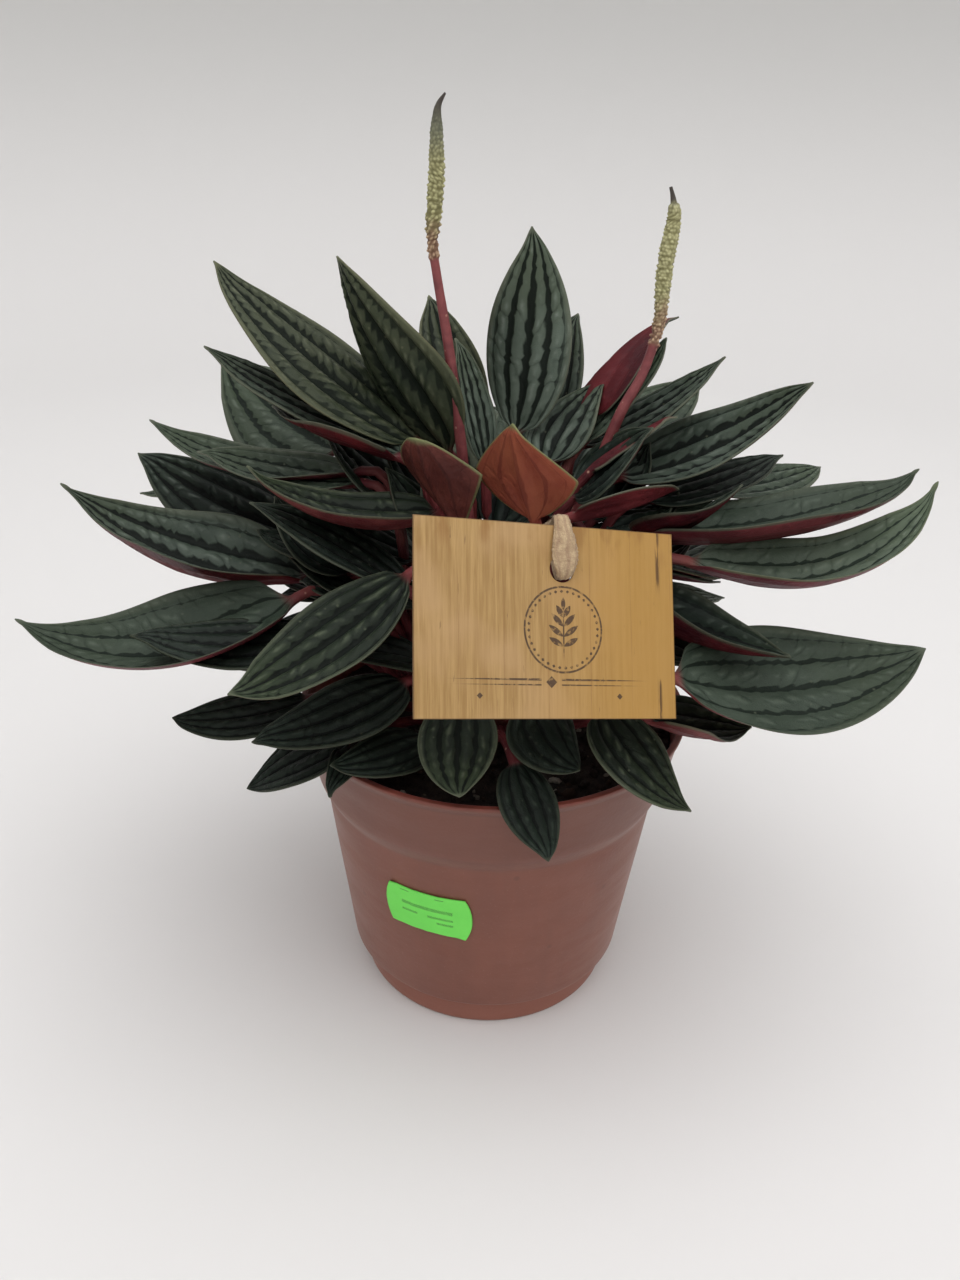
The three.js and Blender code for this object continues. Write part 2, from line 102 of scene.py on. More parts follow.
def buildMesh(name, material, points, faces, masks, uv=None):
    # Points (n, 3) in millimetres, faces a list of index arrays, masks one number and uv two numbers a point.
    mesh = bpy.data.meshes.new(name)
    corners = np.concatenate([part.ravel() for part in faces]).astype(np.int32)
    sizes = np.concatenate([np.full(len(part), part.shape[1]) for part in faces])
    mesh.vertices.add(len(points))
    mesh.vertices.foreach_set("co", (points * metre).astype(np.float32).ravel())
    mesh.loops.add(len(corners))
    mesh.loops.foreach_set("vertex_index", corners)
    mesh.polygons.add(len(sizes))
    mesh.polygons.foreach_set("loop_start", (np.cumsum(sizes) - sizes).astype(np.int32))
    mesh.update(calc_edges=True)
    if uv is not None:
        mesh.uv_layers.new(name="surfaceMap").data.foreach_set("uv", uv[corners].astype(np.float32).ravel())
    for mask, values in masks.items():
        rows = mesh.attributes.new(mask, "FLOAT", "POINT").data
        rows.foreach_set("value", np.asarray(values, np.float32).ravel())
    mesh.shade_smooth()
    mesh.materials.append(material)
    piece = bpy.data.objects.new(name, mesh)
    scene.collection.objects.link(piece)
    return piece


def addPiece(name, slot, material, surface, *nodes):
    # The piece rides the fixed body and stands for the named nodes. The slot is not used.
    piece = buildMesh(name, material, *surface)
    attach(piece, "root")
    if nodes:
        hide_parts(*nodes)


def joinParts(parts):
    # Stacks (points, faces, masks) sets into one, moving each set's face indices past the points before it.
    faces, masks, start = [], {}, 0
    for points, ownFaces, ownMasks in parts:
        faces += [part + start for part in ownFaces]
        for mask, values in ownMasks.items():
            masks.setdefault(mask, []).append(np.broadcast_to(values, len(points)))
        start += len(points)
    points = np.concatenate([part[0] for part in parts])
    return points, faces, {key: np.concatenate(row) for key, row in masks.items()}


def weldPoints(points, faces, masks):
    # Points within a thousandth of a millimetre become one. Quads that lose a corner become triangles.
    first, index = np.unique(np.round(points, 3) + 0.0, axis=0, return_index=True, return_inverse=True)[1:]
    welded = []
    for part in faces:
        part = index.ravel()[part]
        same = part == np.roll(part, -1, axis=1)
        short = same.sum(1) == 1
        welded += [part[~same.any(1)], part[short][~same[short]].reshape(-1, 3)]
    kept = {mask: row[first] for mask, row in masks.items()}
    return points[first], [part for part in welded if len(part)], kept


# ---- curves and noise ----
def smoothStep(value, low, high):
    # 3x^2 - 2x^3 of the value's share of the way from low to high.
    share = np.clip((np.asarray(value, float) - low) / (high - low), 0, 1)
    return share * share * (3 - 2 * share)


def unit(vectors):
    return vectors / np.linalg.norm(vectors, axis=-1, keepdims=True)


def crossFrames(directions, rollDegrees):
    # Side is direction x up, face is side x direction, and both turn by the roll about the direction.
    side = unit(np.cross(directions, upward))
    face = unit(np.cross(side, directions))
    roll = np.radians(np.broadcast_to(rollDegrees, len(directions)))[:, None]
    return side * np.cos(roll) - face * np.sin(roll), face * np.cos(roll) + side * np.sin(roll)


def polar(azimuth, reach, height):
    # (reach cos azimuth, reach sin azimuth, height), the azimuth in degrees.
    turn = math.radians(azimuth)
    return np.array([reach * math.cos(turn), reach * math.sin(turn), height])


def fullTurn(count):
    return np.linspace(0, 2 * np.pi, count, endpoint=False)


def circlePoints(turn):
    return np.stack([np.cos(turn), np.sin(turn)], -1)


def splinePath(knots, count, closed=False):
    # Centripetal Catmull-Rom curve through the knots, then points an equal length apart along it.
    knots = np.asarray(knots, float)
    if closed:
        knots = np.concatenate([knots[-1:], knots, knots[:2]])
    else:
        knots = np.concatenate([2 * knots[:1] - knots[1:2], knots, 2 * knots[-1:] - knots[-2:-1]])
    gaps = np.linalg.norm(np.diff(knots[:, :3], axis=0), axis=1) ** 0.5
    s = np.linspace(0, 1, 40, endpoint=False)[:, None]
    pieces = []
    for i in range(1, len(knots) - 2):
        before, here, after = gaps[i - 1 : i + 2]
        a, b, c, d = knots[i - 1 : i + 3]
        leave = ((b - a) / before - (c - a) / (before + here) + (c - b) / here) * here
        arrive = ((c - b) / here - (d - b) / (here + after) + (d - c) / after) * here
        bend = 2 * b - 2 * c + leave + arrive
        swing = -3 * b + 3 * c - 2 * leave - arrive
        pieces.append(((bend * s + swing) * s + leave) * s + b)
    dense = np.concatenate(pieces + [knots[-2:-1]])
    length = np.concatenate([[0], np.cumsum(np.linalg.norm(np.diff(dense[:, :3], axis=0), axis=1))])
    want = np.linspace(0, length[-1], count, endpoint=not closed)
    return np.stack([np.interp(want, length, column) for column in dense.T], -1), length[-1]


def valueNoise(x, y, cell, seed):
    # Random heights on a square lattice of that cell, blended with smooth weights, from -1 to 1.
    lattice = np.random.default_rng(seed).random((64, 64)) * 2 - 1
    (baseX, partX), (baseY, partY) = (np.divmod(np.asarray(value) / cell, 1) for value in (x, y))
    baseX, baseY = baseX.astype(int), baseY.astype(int)
    partX, partY = smoothStep(partX, 0, 1), smoothStep(partY, 0, 1)
    rows = []
    for row in (baseY % 64, (baseY + 1) % 64):
        rows.append(lattice[baseX % 64, row] * (1 - partX) + lattice[(baseX + 1) % 64, row] * partX)
    return rows[0] * (1 - partY) + rows[1] * partY


# ---- shader trees ----
def srgb(code):
    # Linear colour from the screen's red, green and blue, two hexadecimal digits each.
    share = np.frombuffer(bytes.fromhex(code), np.uint8) / 255
    linear = np.where(share <= 0.04045, share / 12.92, ((share + 0.055) / 1.055) ** 2.4)
    return (*linear.tolist(), 1.0)


class Signal:
    # One output of a node. Arithmetic on it adds math nodes to its tree.
    def __init__(self, shade, socket):
        self.shade, self.socket = shade, socket

    def calc(self, operation, *others):
        return self.shade.node("Math", [self, *others], operation=operation)

    def ease(self, low, high, start=0.0, end=1.0):
        # Smooth step of the value between low and high, put out from start to end.
        return self.shade.node("MapRange", [self, low, high, start, end], interpolation_type="SMOOTHSTEP")

    def mix(self, first, second):
        # The first colour where the value is 0, the second where it is 1.
        return self.shade.node("Mix", {0: self, 6: first, 7: second}, 2, data_type="RGBA")

    def __add__(self, other):
        return self.calc("ADD", other)

    def __sub__(self, other):
        return self.calc("SUBTRACT", other)

    def __rsub__(self, other):
        return self.shade.node("Math", [other, self], operation="SUBTRACT")

    def __mul__(self, other):
        return self.calc("MULTIPLY", other)

    def __truediv__(self, other):
        return self.calc("DIVIDE", other)

    def __abs__(self):
        return self.calc("ABSOLUTE")


class Shade:
    # A shader tree. A node's inputs are a list, or go by socket name or number, and hold values or signals.
    def __init__(self, tree):
        self.tree = tree

    def feed(self, socket, value):
        if isinstance(value, Signal):
            self.tree.links.new(value.socket, socket)
        else:
            socket.default_value = value

    def outputs(self, kind, inputs=(), **settings):
        made = self.tree.nodes.new("ShaderNode" + kind)
        for key, value in settings.items():
            setattr(made, key, value)
        for key, value in inputs.items() if isinstance(inputs, dict) else enumerate(inputs):
            self.feed(made.inputs[key], value)
        return made.outputs

    def node(self, kind, inputs=(), out=0, **settings):
        return Signal(self, self.outputs(kind, inputs, **settings)[out])

    def use(self, group, **values):
        sockets = self.outputs("Group", values, node_tree=group)
        return {socket.name: Signal(self, socket) for socket in sockets}

    def mask(self, name):
        return self.node("Attribute", out="Fac", attribute_name=name)

    def place(self, scale=(1, 1, 1)):
        return self.node("Mapping", {"Vector": self.node("TexCoord", out="Object"), "Scale": scale})

    def chart(self, scale=(1, 1, 1)):
        return self.node("Mapping", {"Vector": self.node("UVMap", uv_map="surfaceMap"), "Scale": scale})

    def axes(self, place):
        return [Signal(self, socket) for socket in self.outputs("SeparateXYZ", [place])]

    def noise(self, place, scale, detail=3.0, rough=0.5):
        return self.node("TexNoise", {"Vector": place, "Scale": scale, "Detail": detail, "Roughness": rough})

    def bump(self, height, strength, depth):
        return self.node("Bump", {"Height": height, "Strength": strength, "Distance": depth})


def layered(base, *coats):
    # Each coat is a share and a colour, mixed over what lies below it.
    for share, colour in coats:
        base = share.mix(base, colour)
    return base


def strongest(marks):
    return functools.reduce(lambda first, second: first.calc("MAXIMUM", second), marks)


def makeGroup(name, recipe, **inputs):
    # A shader group with float inputs and their defaults. The recipe turns them into its float outputs.
    group = bpy.data.node_groups.new(name, "ShaderNodeTree")
    for label, value in inputs.items():
        group.interface.new_socket(label, in_out="INPUT", socket_type="NodeSocketFloat").default_value = value
    shade, source = Shade(group), group.nodes.new("NodeGroupInput")
    made = recipe(shade, {label: Signal(shade, source.outputs[label]) for label in inputs})
    for label in made:
        group.interface.new_socket(label, in_out="OUTPUT", socket_type="NodeSocketFloat")
    sink = group.nodes.new("NodeGroupOutput")
    for label, signal in made.items():
        shade.feed(sink.inputs[label], signal)
    return group


def makeMaterial(name, recipe, *values):
    # The recipe gives the colour, roughness and normal of one Principled shader, then its constant sockets.
    material = bpy.data.materials.new(name)
    material.use_nodes = True
    shade = Shade(material.node_tree)
    shader = material.node_tree.nodes["Principled BSDF"]
    *signals, constants = recipe(shade, *values)
    for key, value in [*zip(("Base Color", "Roughness", "Normal"), signals), *constants.items()]:
        shade.feed(shader.inputs[key], value)
    return material


def paintRipples(shade, given):
    # Groove is dark along each long vein, with saw teeth where side veins meet it. Side is the side veins'
    # lines, and the crest mask the pale top of each swelling between them: silvery ridge with a painted
    # highlight.
    place, strength = shade.place(), shade.mask("strength")
    panel = shade.mask("panel") + (shade.noise(place, 110.0) * 0.24 - 0.12)
    fromVein = panel.calc("PINGPONG", 0.5) * 2.0
    phase = shade.noise(place, 230.0) * 0.9 + shade.mask("beat")
    tooth = phase.calc("PINGPONG", 0.5) * 2.0
    level = ((1.0 - tooth) * given["Teeth"] + fromVein) / (strength * 0.8 + 0.2)
    dark = level.ease(given["Stripe"] * 0.66, given["Stripe"], 1.0, 0.0)
    groove = dark * (strength * 1.6).calc("MINIMUM", 1.0)
    uneven = shade.noise(place, 210.0, 2.0).ease(0.4, 0.62)
    crest = fromVein.ease(0.45, 1.0) * tooth.ease(0.1, 0.75, 1.0, 0.0)
    return {"Groove": groove, "Side": tooth.ease(0.66, 1.0) * uneven, "Crest": crest * uneven}


def paintFlecks(shade, given):
    # Fleck is a sparse scatter of small spots. Mottle is a soft cloud from 0 to 1.
    place = shade.place()
    cells = shade.outputs("TexVoronoi", {"Vector": place, "Scale": given["Spots"]})
    rare = shade.node("SeparateColor", [Signal(shade, cells["Color"])]).calc("LESS_THAN", given["Share"])
    near = Signal(shade, cells["Distance"]).ease(0.12, 0.34, 1.0, 0.0)
    return {"Fleck": rare * near, "Mottle": shade.noise(place, given["Cloud"], 4.0, 0.6).ease(0.3, 0.7)}


def paintGrain(shade, given):
    # Height of a fine cell texture with a slow swell under it.
    place = shade.place()
    cells = shade.node("TexVoronoi", {"Vector": place, "Scale": given["Scale"]})
    return {"Height": cells * -0.4 + shade.noise(place, given["Swell"])}


rippleMarks = makeGroup("rippleMarks", paintRipples, Stripe=0.5, Teeth=0.3)
flecks = makeGroup("flecks", paintFlecks, Spots=900.0, Share=0.1, Cloud=60.0)
skinGrain = makeGroup("skinGrain", paintGrain, Scale=2600.0, Swell=300.0)


# ---- leaves ----
lookColours = "crest ridge ridgeLow groove fresh rim under underLow underRib stem".split()
# The colours above, how wide the dark stripes are, how far their teeth reach, and where the tip pales.
leafLooks = {
    "green": ("666f65 505a50 384239 090f0b 404a3a 5c6050 672428 3e151b 562024 7a393a", 0.74, 0.26, 0.955),
    # The green colours with lighter tops and the same underside, for the top leaves: painted light.
    "crown": ("768076 626d62 4a554b 0b120d 4e5848 626656 672428 3e151b 562024 7a393a", 0.7, 0.24, 0.955),
    "olive": ("646854 444937 283023 0c140c 424836 64664e 702c2c 44191c 5a2222 7a3838", 0.74, 0.3, 0.955),
    "oliveDark": ("525a48 242d21 181f17 080e09 2e3826 5a604d 804442 58282a 683232 7a3838", 0.62, 0.26, 0.955),
    "silver": ("646e61 465043 343e33 141d16 424d3c 5e6354 804448 5c282e 743c3e 70403c", 0.5, 0.22, 0.955),
    "calm": ("545e52 444e43 343e34 141d16 384234 545b4c 783a3e 54242a 683436 824644", 0.36, 0.16, 0.955),
    # A lighter copy of the calm colours, for a leaf in the shade of the one above it: painted light.
    "bright": ("707a6c 626d60 4e594c 202a22 54604c 687058 804248 5e2a32 703a3c 76423e", 0.4, 0.18, 0.955),
    "dark": ("545d55 212a24 141c17 070c09 263026 484d40 5a1f25 351319 4c1c20 703335", 0.58, 0.22, 0.955),
    # The dark colours with darker tops and the same underside, for leaves low in the rosette: painted shade.
    "deep": ("363f36 1c241d 121914 060a08 202a22 3c4134 5a1f25 351319 4c1c20 703335", 0.48, 0.2, 0.955),
    # A young leaf's coppery colours, the underside brightened with painted light shining through the leaf.
    "young": ("636b51 4a543c 323d2a 131b13 505a3e 767a52 a45c44 8e4638 5c2623 964a42", 0.32, 0.1, 0.93),
    # The young colours with a darker underside, for a young leaf that faces the light differently: painted
    # shade.
    "ruddy": ("636b51 4a543c 323d2a 131b13 505a3e 707450 6c3a32 4e2622 321818 783a36", 0.32, 0.1, 0.93),
}


def paintLeaf(shade, colours, stripe, teeth, tipFrom):
    # Ridges under dark grooves, pale crests with a painted highlight and a pale rim above, red with dark ribs
    # below, and a speckled stalk.
    look = dict(zip(lookColours, map(srgb, colours.split())))
    marks = shade.use(rippleMarks, Stripe=stripe, Teeth=teeth)
    spots = shade.use(flecks, Spots=620.0, Share=0.05, Cloud=70.0)
    mottle, fleck = spots["Mottle"], spots["Fleck"]
    place, along, fromEdge = shade.place(), shade.mask("along"), shade.mask("fromEdge")
    outer = shade.noise(place, 60.0) * 0.7 + along
    tip = along.ease(tipFrom, 0.995)
    top = layered(
        mottle.mix(look["ridgeLow"], look["ridge"]),
        (shade.noise(place, 24.0, 2.0).ease(0.35, 0.7, 0.0, 0.35), look["ridgeLow"]),
        (outer.ease(0.8, 1.25, 0.0, 0.85), look["fresh"]),
        # Pale crest on each swelling: the ridges' silvery colour with a painted highlight.
        (marks["Crest"] * 0.7, look["crest"]),
        (marks["Side"] * 0.34, look["groove"]),
        (marks["Groove"] * 0.94, look["groove"]),
        (fleck * 0.5, look["rim"]),
        (shade.mask("panel").ease(2.12, 2.5, 0.0, 0.42) * outer.ease(0.3, 1.0), look["rim"]),
        (fromEdge.ease(0.15, 0.55, 0.55, 0.0), look["rim"]),
        (tip, look["rim"]),
    )
    under = layered(
        mottle.mix(look["underLow"], look["under"]),
        (marks["Groove"] * 0.45, look["underRib"]),
        (fleck * 0.35, look["stem"]),
        (fromEdge.ease(0.3, 0.9, 0.8, 0.0), look["rim"]),
        (tip, look["rim"]),
    )
    stalk = layered(mottle.mix(look["underLow"], look["stem"]), (fleck * 0.6, srgb("cda08c")))
    colour = layered(top, (shade.mask("under"), under), (shade.mask("stem"), stalk))
    rough = mottle * 0.08 + marks["Groove"].ease(0.0, 1.0, 0.42, 0.62)
    grain = shade.use(skinGrain, Scale=2400.0, Swell=420.0)["Height"]
    height = marks["Crest"] * 0.8 + (marks["Side"] * -0.5 + grain)
    constants = {"Specular IOR Level": 0.15, "Coat Roughness": 0.3}
    return colour, rough, shade.bump(height, 0.55, 0.0003), constants


crownRings = {  # radius, height, and the rise of a stalk that starts there
    "low": (15.5, 94.5, 5.0),
    "middle": (14.6, 100.5, 25.0),
    "high": (11.6, 106.5, 48.0),
    "top": (6.4, 110.8, 72.0),
}
seatGap = 0.3
leafShape = {
    "petioleRadius": 1.6, "petioleBend": 0.32, "petioleRows": 12, "rowGap": 0.85, "rowLimits": (44, 92),
    "rise": 0.55, "fall": 0.85, "drawnFrom": 0.82, "drawn": 0.22, "kite": 0.0,
    "bluntSize": 0.75, "bluntReach": 0.02,
    "edgeThickness": 0.55, "keel": 1.5, "keelWidth": 1.5, "topSteps": (7, 6, 5), "underSteps": (4, 3, 2),
    "veins": (0.0, 0.46, 0.83, 1.0), "veinStrength": (1.0, 0.95, 0.85, 0.8, 0.42, 0.2, 0.0),
    "panelHeight": (1.0, 0.8, 0.3), "relief": 1.0, "ridge": 0.14, "pucker": 0.22, "puckerPeriod": 5.6,
    "slant": 1.3, "wave": 0.035, "over": 0.0, "curl": 0.0, "hem": 0.0, "widened": 1.0, "until": 1.0,
}
fillerShape = {"topSteps": (6, 5, 3), "underSteps": (3, 2, 2), "rowGap": 1.1, "rowLimits": (34, 70)}

# A leaf a line: name, look, crown ring and root azimuth, the blade's base and tip as azimuth, reach and
# height, then width, arch, sway, roll and cup.
leafTable = """
young_centre young top -58 -64 21.9 163.4 -85.3 22.4 190.1 36.5 -0.8 -0.6 28 0.08
young_left ruddy top -140 -116.8 21.6 160.4 -133.5 31.7 185.9 33.3 -1.8 0.3 20 0.2
top_back crown top 76 71.5 14.9 177.1 68.2 20.4 233.8 25.3 -0.5 1 16 0.04
small_inner_left crown top 120 117 10 170 127 22 204 14 1 0 5 0.2
small_inner_right green top 10 13 14 172 31 35 193 22 1 -2 -5 0.15
upper_left olive high 160 161.9 23.6 175.5 162.2 87.8 221.2 36.2 -2.9 -0.1 -7 0.12
upper_left_inner olive high 130 157.2 15.2 172.7 160 49.5 225.1 38.1 -3.4 -2 55 0.23
behind_left_spike olive high 103 104.7 18.5 173.4 120 43.5 212.5 21.4 0.9 -2.5 -2 0.14
behind_top green high 60 57 26 174 60 43 208.5 17 2 0 -5 0.2
red_back_right green high 33 27.4 25.9 182.1 33.7 61.7 209.2 30.5 3.3 -2.6 153 0.2
upper_right green high 5 34.8 27.3 173.9 22.7 71.1 198.7 23.4 -3.8 -0.6 1 0.18
big_right green high -22 23.9 39.5 164.4 6.6 87.4 196.1 31.2 -5.3 0.9 15 0.37
red_edged green high -50 -14 26 173 -5 47 189.5 9 1 1 165 0.25
red_tongue green high -78 -50 30 166 -13 50 171 14 1 4 -45 0.2
olive_left oliveDark high -112 -137.2 21.8 162.9 -163.5 70.5 176 24.4 -7.5 0 -5 0.34
red_left green high 178 -170 28 175.5 166 69 184 20 -1 -1 0 0.2
left_high green high -177 168.8 32.6 177.3 167.5 87.4 199.4 19.2 -1.5 -1.1 -7 0.08
back_left_broad silver middle 148 151 56 167 146 112 188 39 -8 5 -25 0.05
left_folded silver middle 168 172 40 168 160 118 171 21 -8 -1 -5 0.45
dark_left dark middle -156 144 80.4 130.9 157.7 127.9 159.1 33.8 -2.5 -3.1 -28 0.06
long_left green middle -128 180 55.5 136.2 175 130.6 160 35.4 -9.1 -1.6 -7 0.56
shaded_left dark middle -109 -138 33 143 -165 70 166 22 1 0 -5 0.2
upturned_right bright middle -60 -21.8 55.4 153.3 -1.5 123.9 171.4 24.4 -12.9 7.3 10 0.5
long_right calm middle -34 -10.5 39.8 155.3 3.5 122.7 170.9 30.3 -5.2 7.4 -4 0.49
red_right dark middle -16 -2 41 153 -18 67 175 17 -3 3 0 0.25
dark_right dark middle 8 8.2 42.1 161 14.1 87.5 172.2 20.7 -2.1 1.7 8 0.13
pale_right silver middle 28 23.6 71.4 156.4 28.1 125 157 24.7 -1.5 0.5 6 0.17
behind_right silver middle 48 42 46 172 41 87 185 25 -2 -2 15 0.15
back_middle_right green middle 68 62 44 150 66 112 163 26 6 0 0 0.2
back_middle green middle 92 90 42 148 92 115 160 28 6 0 5 0.2
back_middle_left silver middle 118 120 46 152 122 112 166 26 6 0 0 0.2
front_left oliveDark middle -92 -123.3 42.3 153.5 -137.7 89.9 129.2 26.3 -3.5 0.3 -16 0.17
low_left_inner deep low -176 -151.2 55.4 131.2 -161.9 104.5 133.15 25.7 -3.6 -0.5 -8 0.06
low_left calm low -190 -166.4 58.8 136.1 -171.5 138 129.6 37.5 -10.1 -9.6 -11 0.46
back_left_low green low 150 142.1 110.8 134.3 153.1 140.5 137.9 18 2 0 0 0.2
rim_left_outer deep low -163 -152.8 59.2 110.1 -160.9 97.2 105 18 -1.2 -2.3 -20 0.15
rim_left deep low -137 -128.6 39.4 119 -145.3 80.1 108.2 20.4 0.2 -5 -22 0.13
rim_left_lower deep low -150 -138.9 52.2 103 -155.2 78.2 82.4 20.6 1.3 -0.3 -21 0.16
rim_front_left deep low -111 -120.6 37.2 101.2 -129.4 68.6 104.4 16.4 0.4 -3.2 -22 0.14
rim_small deep low -124 -141.2 51.3 95.2 -131.4 68.5 94.1 9.7 4.4 -1.9 -15 0.15
rim_front oliveDark low -97 -103.7 40.1 118.7 -98.2 64.5 104 21.8 -1.1 0.3 9 0.05
over_rim deep low -84 -83.3 48.7 104.8 -78.4 74.9 91.8 16.1 -1.8 -0.1 1 0.08
rim_front_right deep low -71 -76 42.7 119 -66 57.7 105.5 22.2 -2.7 1.3 8 0
rim_right oliveDark low -58 -54 50 117 -49 79.5 98 23 0 3 0 0.1
low_right oliveDark low -45 -42 57 113.3 -26 80.5 108.6 21 -2 -1 6 0.35
broad_right calm low -26 -46.2 65.9 131.6 -15.2 121.6 133 37.4 -7.6 -0.5 24 0.24
right_folded dark low -13 -25.8 35.7 139.6 -31.5 89.1 138.1 19 -4 0.7 2 0.96
small_dark dark low 1 -24 38 151 -12.5 65 144 12 -1 0 -20 0.1
pale_small oliveDark low 14 -21 42 151 -9 65 144.5 17 -1 0 -20 0
back_low_right green low 36 34 50 125 36 106 128 26 6 0 0 0.2
back_low dark low 74 74 50 120 72 112 116 27 7 0 0 0.2
back_low_left green low 116 112 50 120 110 110 118 27 7 0 0 0.2
"""
# What differs from leafShape. A leaf's front half curls up by curl and its edge by hem, until that share of its
# length, and widened stretches it. Over turns the blade's upper side down.
leafChanges = """
young_centre kite=0.5 rise=0.72 fall=0.78 drawn=0 ridge=0.05 pucker=0.08 bluntSize=2.3 bluntReach=0.05
young_left kite=0.4 rise=0.87 fall=0.54 drawn=0 ridge=0.05 pucker=0.08 curl=0.13
broad_right drawn=0.06 relief=0.4 hem=0.12 until=0.95
long_right drawn=0.4 rise=0.51 relief=0.5 hem=0.1 widened=1.04 until=0.95
upturned_right drawn=0.32 rise=0.5 fall=0.97 relief=0.7 curl=0.13 hem=0.1 until=0.85
right_folded rise=0.41 fall=0.88 curl=0.52 hem=0.05 widened=1.16 until=0.8
long_left rise=0.66 fall=1.2 curl=0.24 widened=1.08 until=0.98
low_left rise=0.59 fall=1.12 relief=0.45 curl=0.17
front_left rise=0.63 fall=0.81 hem=0.12 until=0.95
big_right rise=0.49 drawn=0.1
olive_left rise=0.51 fall=1.07 curl=0.27 hem=0.1 widened=1.2 until=1.1
upper_right fall=0.97
dark_left drawn=0.05 fall=0.93
red_back_right fall=0.93
upper_left drawn=0.12 puckerPeriod=4.4 fall=0.89
upper_left_inner drawn=0 puckerPeriod=4.4 over=180
top_back drawn=0.1 relief=0.75
pale_small drawn=0 fall=0.5
behind_top drawn=0
rim_front drawn=0 fall=0.76 relief=0.5
rim_left_outer drawn=0
rim_left drawn=0
rim_left_lower drawn=0
rim_small drawn=0
rim_front_left drawn=0 relief=0.6
over_rim drawn=0 relief=0.5
rim_front_right drawn=0 relief=0.5
rim_right relief=0.6
back_left_broad relief=0.7
red_left curl=0.15 hem=0.35 until=0.9
low_left_inner hem=0.1 until=0.95
low_right curl=0.25 hem=0.2 widened=1.1 until=0.85
red_right curl=0.3 hem=0.2 widened=1.2 until=0.95
dark_right hem=0.1 until=0.95
"""
# Leaves that fill the back and the middle of the rosette, in the same terms.
fillerTable = """
fill_back_a silver high 84 80 30 150 82 84 178 24 2 0 0 0.2
fill_back_b green middle 104 106 40 138 104 96 150 25 4 1 5 0.2
fill_back_c olive middle 56 54 40 142 50 98 155 25 4 -1 -5 0.2
fill_back_d green middle 134 136 42 136 138 98 148 24 4 0 0 0.2
fill_back_e green low 44 46 46 118 52 98 122 24 5 0 0 0.2
fill_back_f dark low 92 92 46 112 90 98 104 25 5 0 0 0.2
fill_back_g silver low 134 134 48 118 132 102 116 24 5 0 0 0.2
fill_back_h green low 30 30 46 116 30 92 112 24 3 0 0 0.2
fill_back_i olive high 112 112 26 152 112 72 176 22 2 0 0 0.2
fill_back_j dark low 58 60 44 110 62 90 98 22 4 0 0 0.2
fill_back_k dark low 126 122 42 108 124 88 98 22 4 0 0 0.2
fill_left_a dark middle 168 155 24 153 163 55 179 32 -3 0 0 0.25
fill_left_b dark middle -170 180 24 142 176 62 160 27 -3 0 0 0.25
fill_left_c deep low -150 -153 22 133 -176 62 146 26 -3 0 0 0.25
fill_left_d dark high 140 144 18 154 146 42 178 24 -2 0 0 0.25
fill_centre dark top 160 157 13 146 150 22 174 22 -2 0 0 0.25
fill_right_a dark middle 4 7 34 149 8 54 163 24 -3 0 0 0.25
fill_right_b dark low 0 0 36 142 2 58 152 24 -3 0 0 0.25
fill_right_c deep low -40 -34 44 130 -30 66 128 24 0 0 0 0.3
fill_right_d dark high 24 21 30 152 26 50 174 22 -2 0 0 0.25
fill_deep_left deep low -175 178 26 122 172 70 132 28 3 0 0 0.2
fill_deep_right deep low 12 10 28 122 8 58 128 26 3 0 0 0.2
fill_front_left deep low -130 -134 26 118 -150 58 126 24 2 0 0 0.2
fill_left_e dark high -178 -166 15 149 179 32 171 25 -3 0 0 0.25
fill_left_f dark middle -160 -173 42 140 178 66 160 27 -3 0 0 0.25
fill_left_g deep low -168 -168 34 134 -175 58 138 24 0 0 0 0.2
fill_left_h deep low 172 171 44 131 171 68 126 22 -1 0 0 0.2
fill_left_j deep middle -172 180 45 142.5 176 72 148.5 22 -1 0 0 0.2
fill_left_k silver middle 172 174.9 40 165 167.4 92.8 169 21.2 -3.5 0.3 -11 0.37
fill_left_m deep low 178 180 43.9 129.2 173.6 71.5 116.1 11 -1 0 0 0.2
fill_right_m deep middle 8 6.2 18.6 147.9 9.8 47.1 156.8 12 -1 0 0 0.2
fill_right_k silver high 10 15.7 23.5 177 25.3 52.6 204.6 15.8 -0.4 0.6 -2 0.22
fill_right_h silver low 10 12 44 142 8 72 136 20 -1 0 0 0.2
fill_left_i deep low 176 174 56 110 174 87 101 22 -1 0 0 0.2
fill_right_e dark high -20 -3 31 153 0 50 161 24 -3 0 0 0.25
fill_right_f dark high -40 -21 22 166 -15 41 187.5 26 -1 0 15 0.25
fill_right_g dark high -15 -4 23 156 30 13 172 24 -1 0 0 0.25
fill_middle dark top 70 90 6 150 62 20 176 24 -2 0 0 0.25
"""


def rootAt(azimuth, ring):
    # A point just off the crown's ring, and the direction in which a stalk leaves it.
    radius, height, rise = crownRings[ring]
    rise = math.radians(rise)
    out = polar(azimuth, math.cos(rise), math.sin(rise))
    return polar(azimuth, radius, height) + out * seatGap, out


def bladeFullness(t, shape):
    # t^rise (1 - t)^fall, scaled to 1 at its widest and drawn out at the tip, or part of the way to a kite.
    rise, fall = shape["rise"], shape["fall"]
    widest = rise / (rise + fall)
    drawnOut = np.minimum(1, (1 - t) / (1 - shape["drawnFrom"])) ** shape["drawn"]
    rounded = (t / widest) ** rise * ((1 - t) / (1 - widest)) ** fall * drawnOut
    kite = np.minimum(t / widest, (1 - t) / (1 - widest))
    return rounded + (kite - rounded) * shape["kite"]


def columnPlaces(steps, veins):
    # Even steps from each vein to the next one, and the same on the other side of the middle.
    parts = [np.linspace(veins[i], veins[i + 1], count + 1)[1:] for i, count in enumerate(steps)]
    half = np.concatenate([[0], *parts])
    return np.concatenate([-half[:0:-1], half])


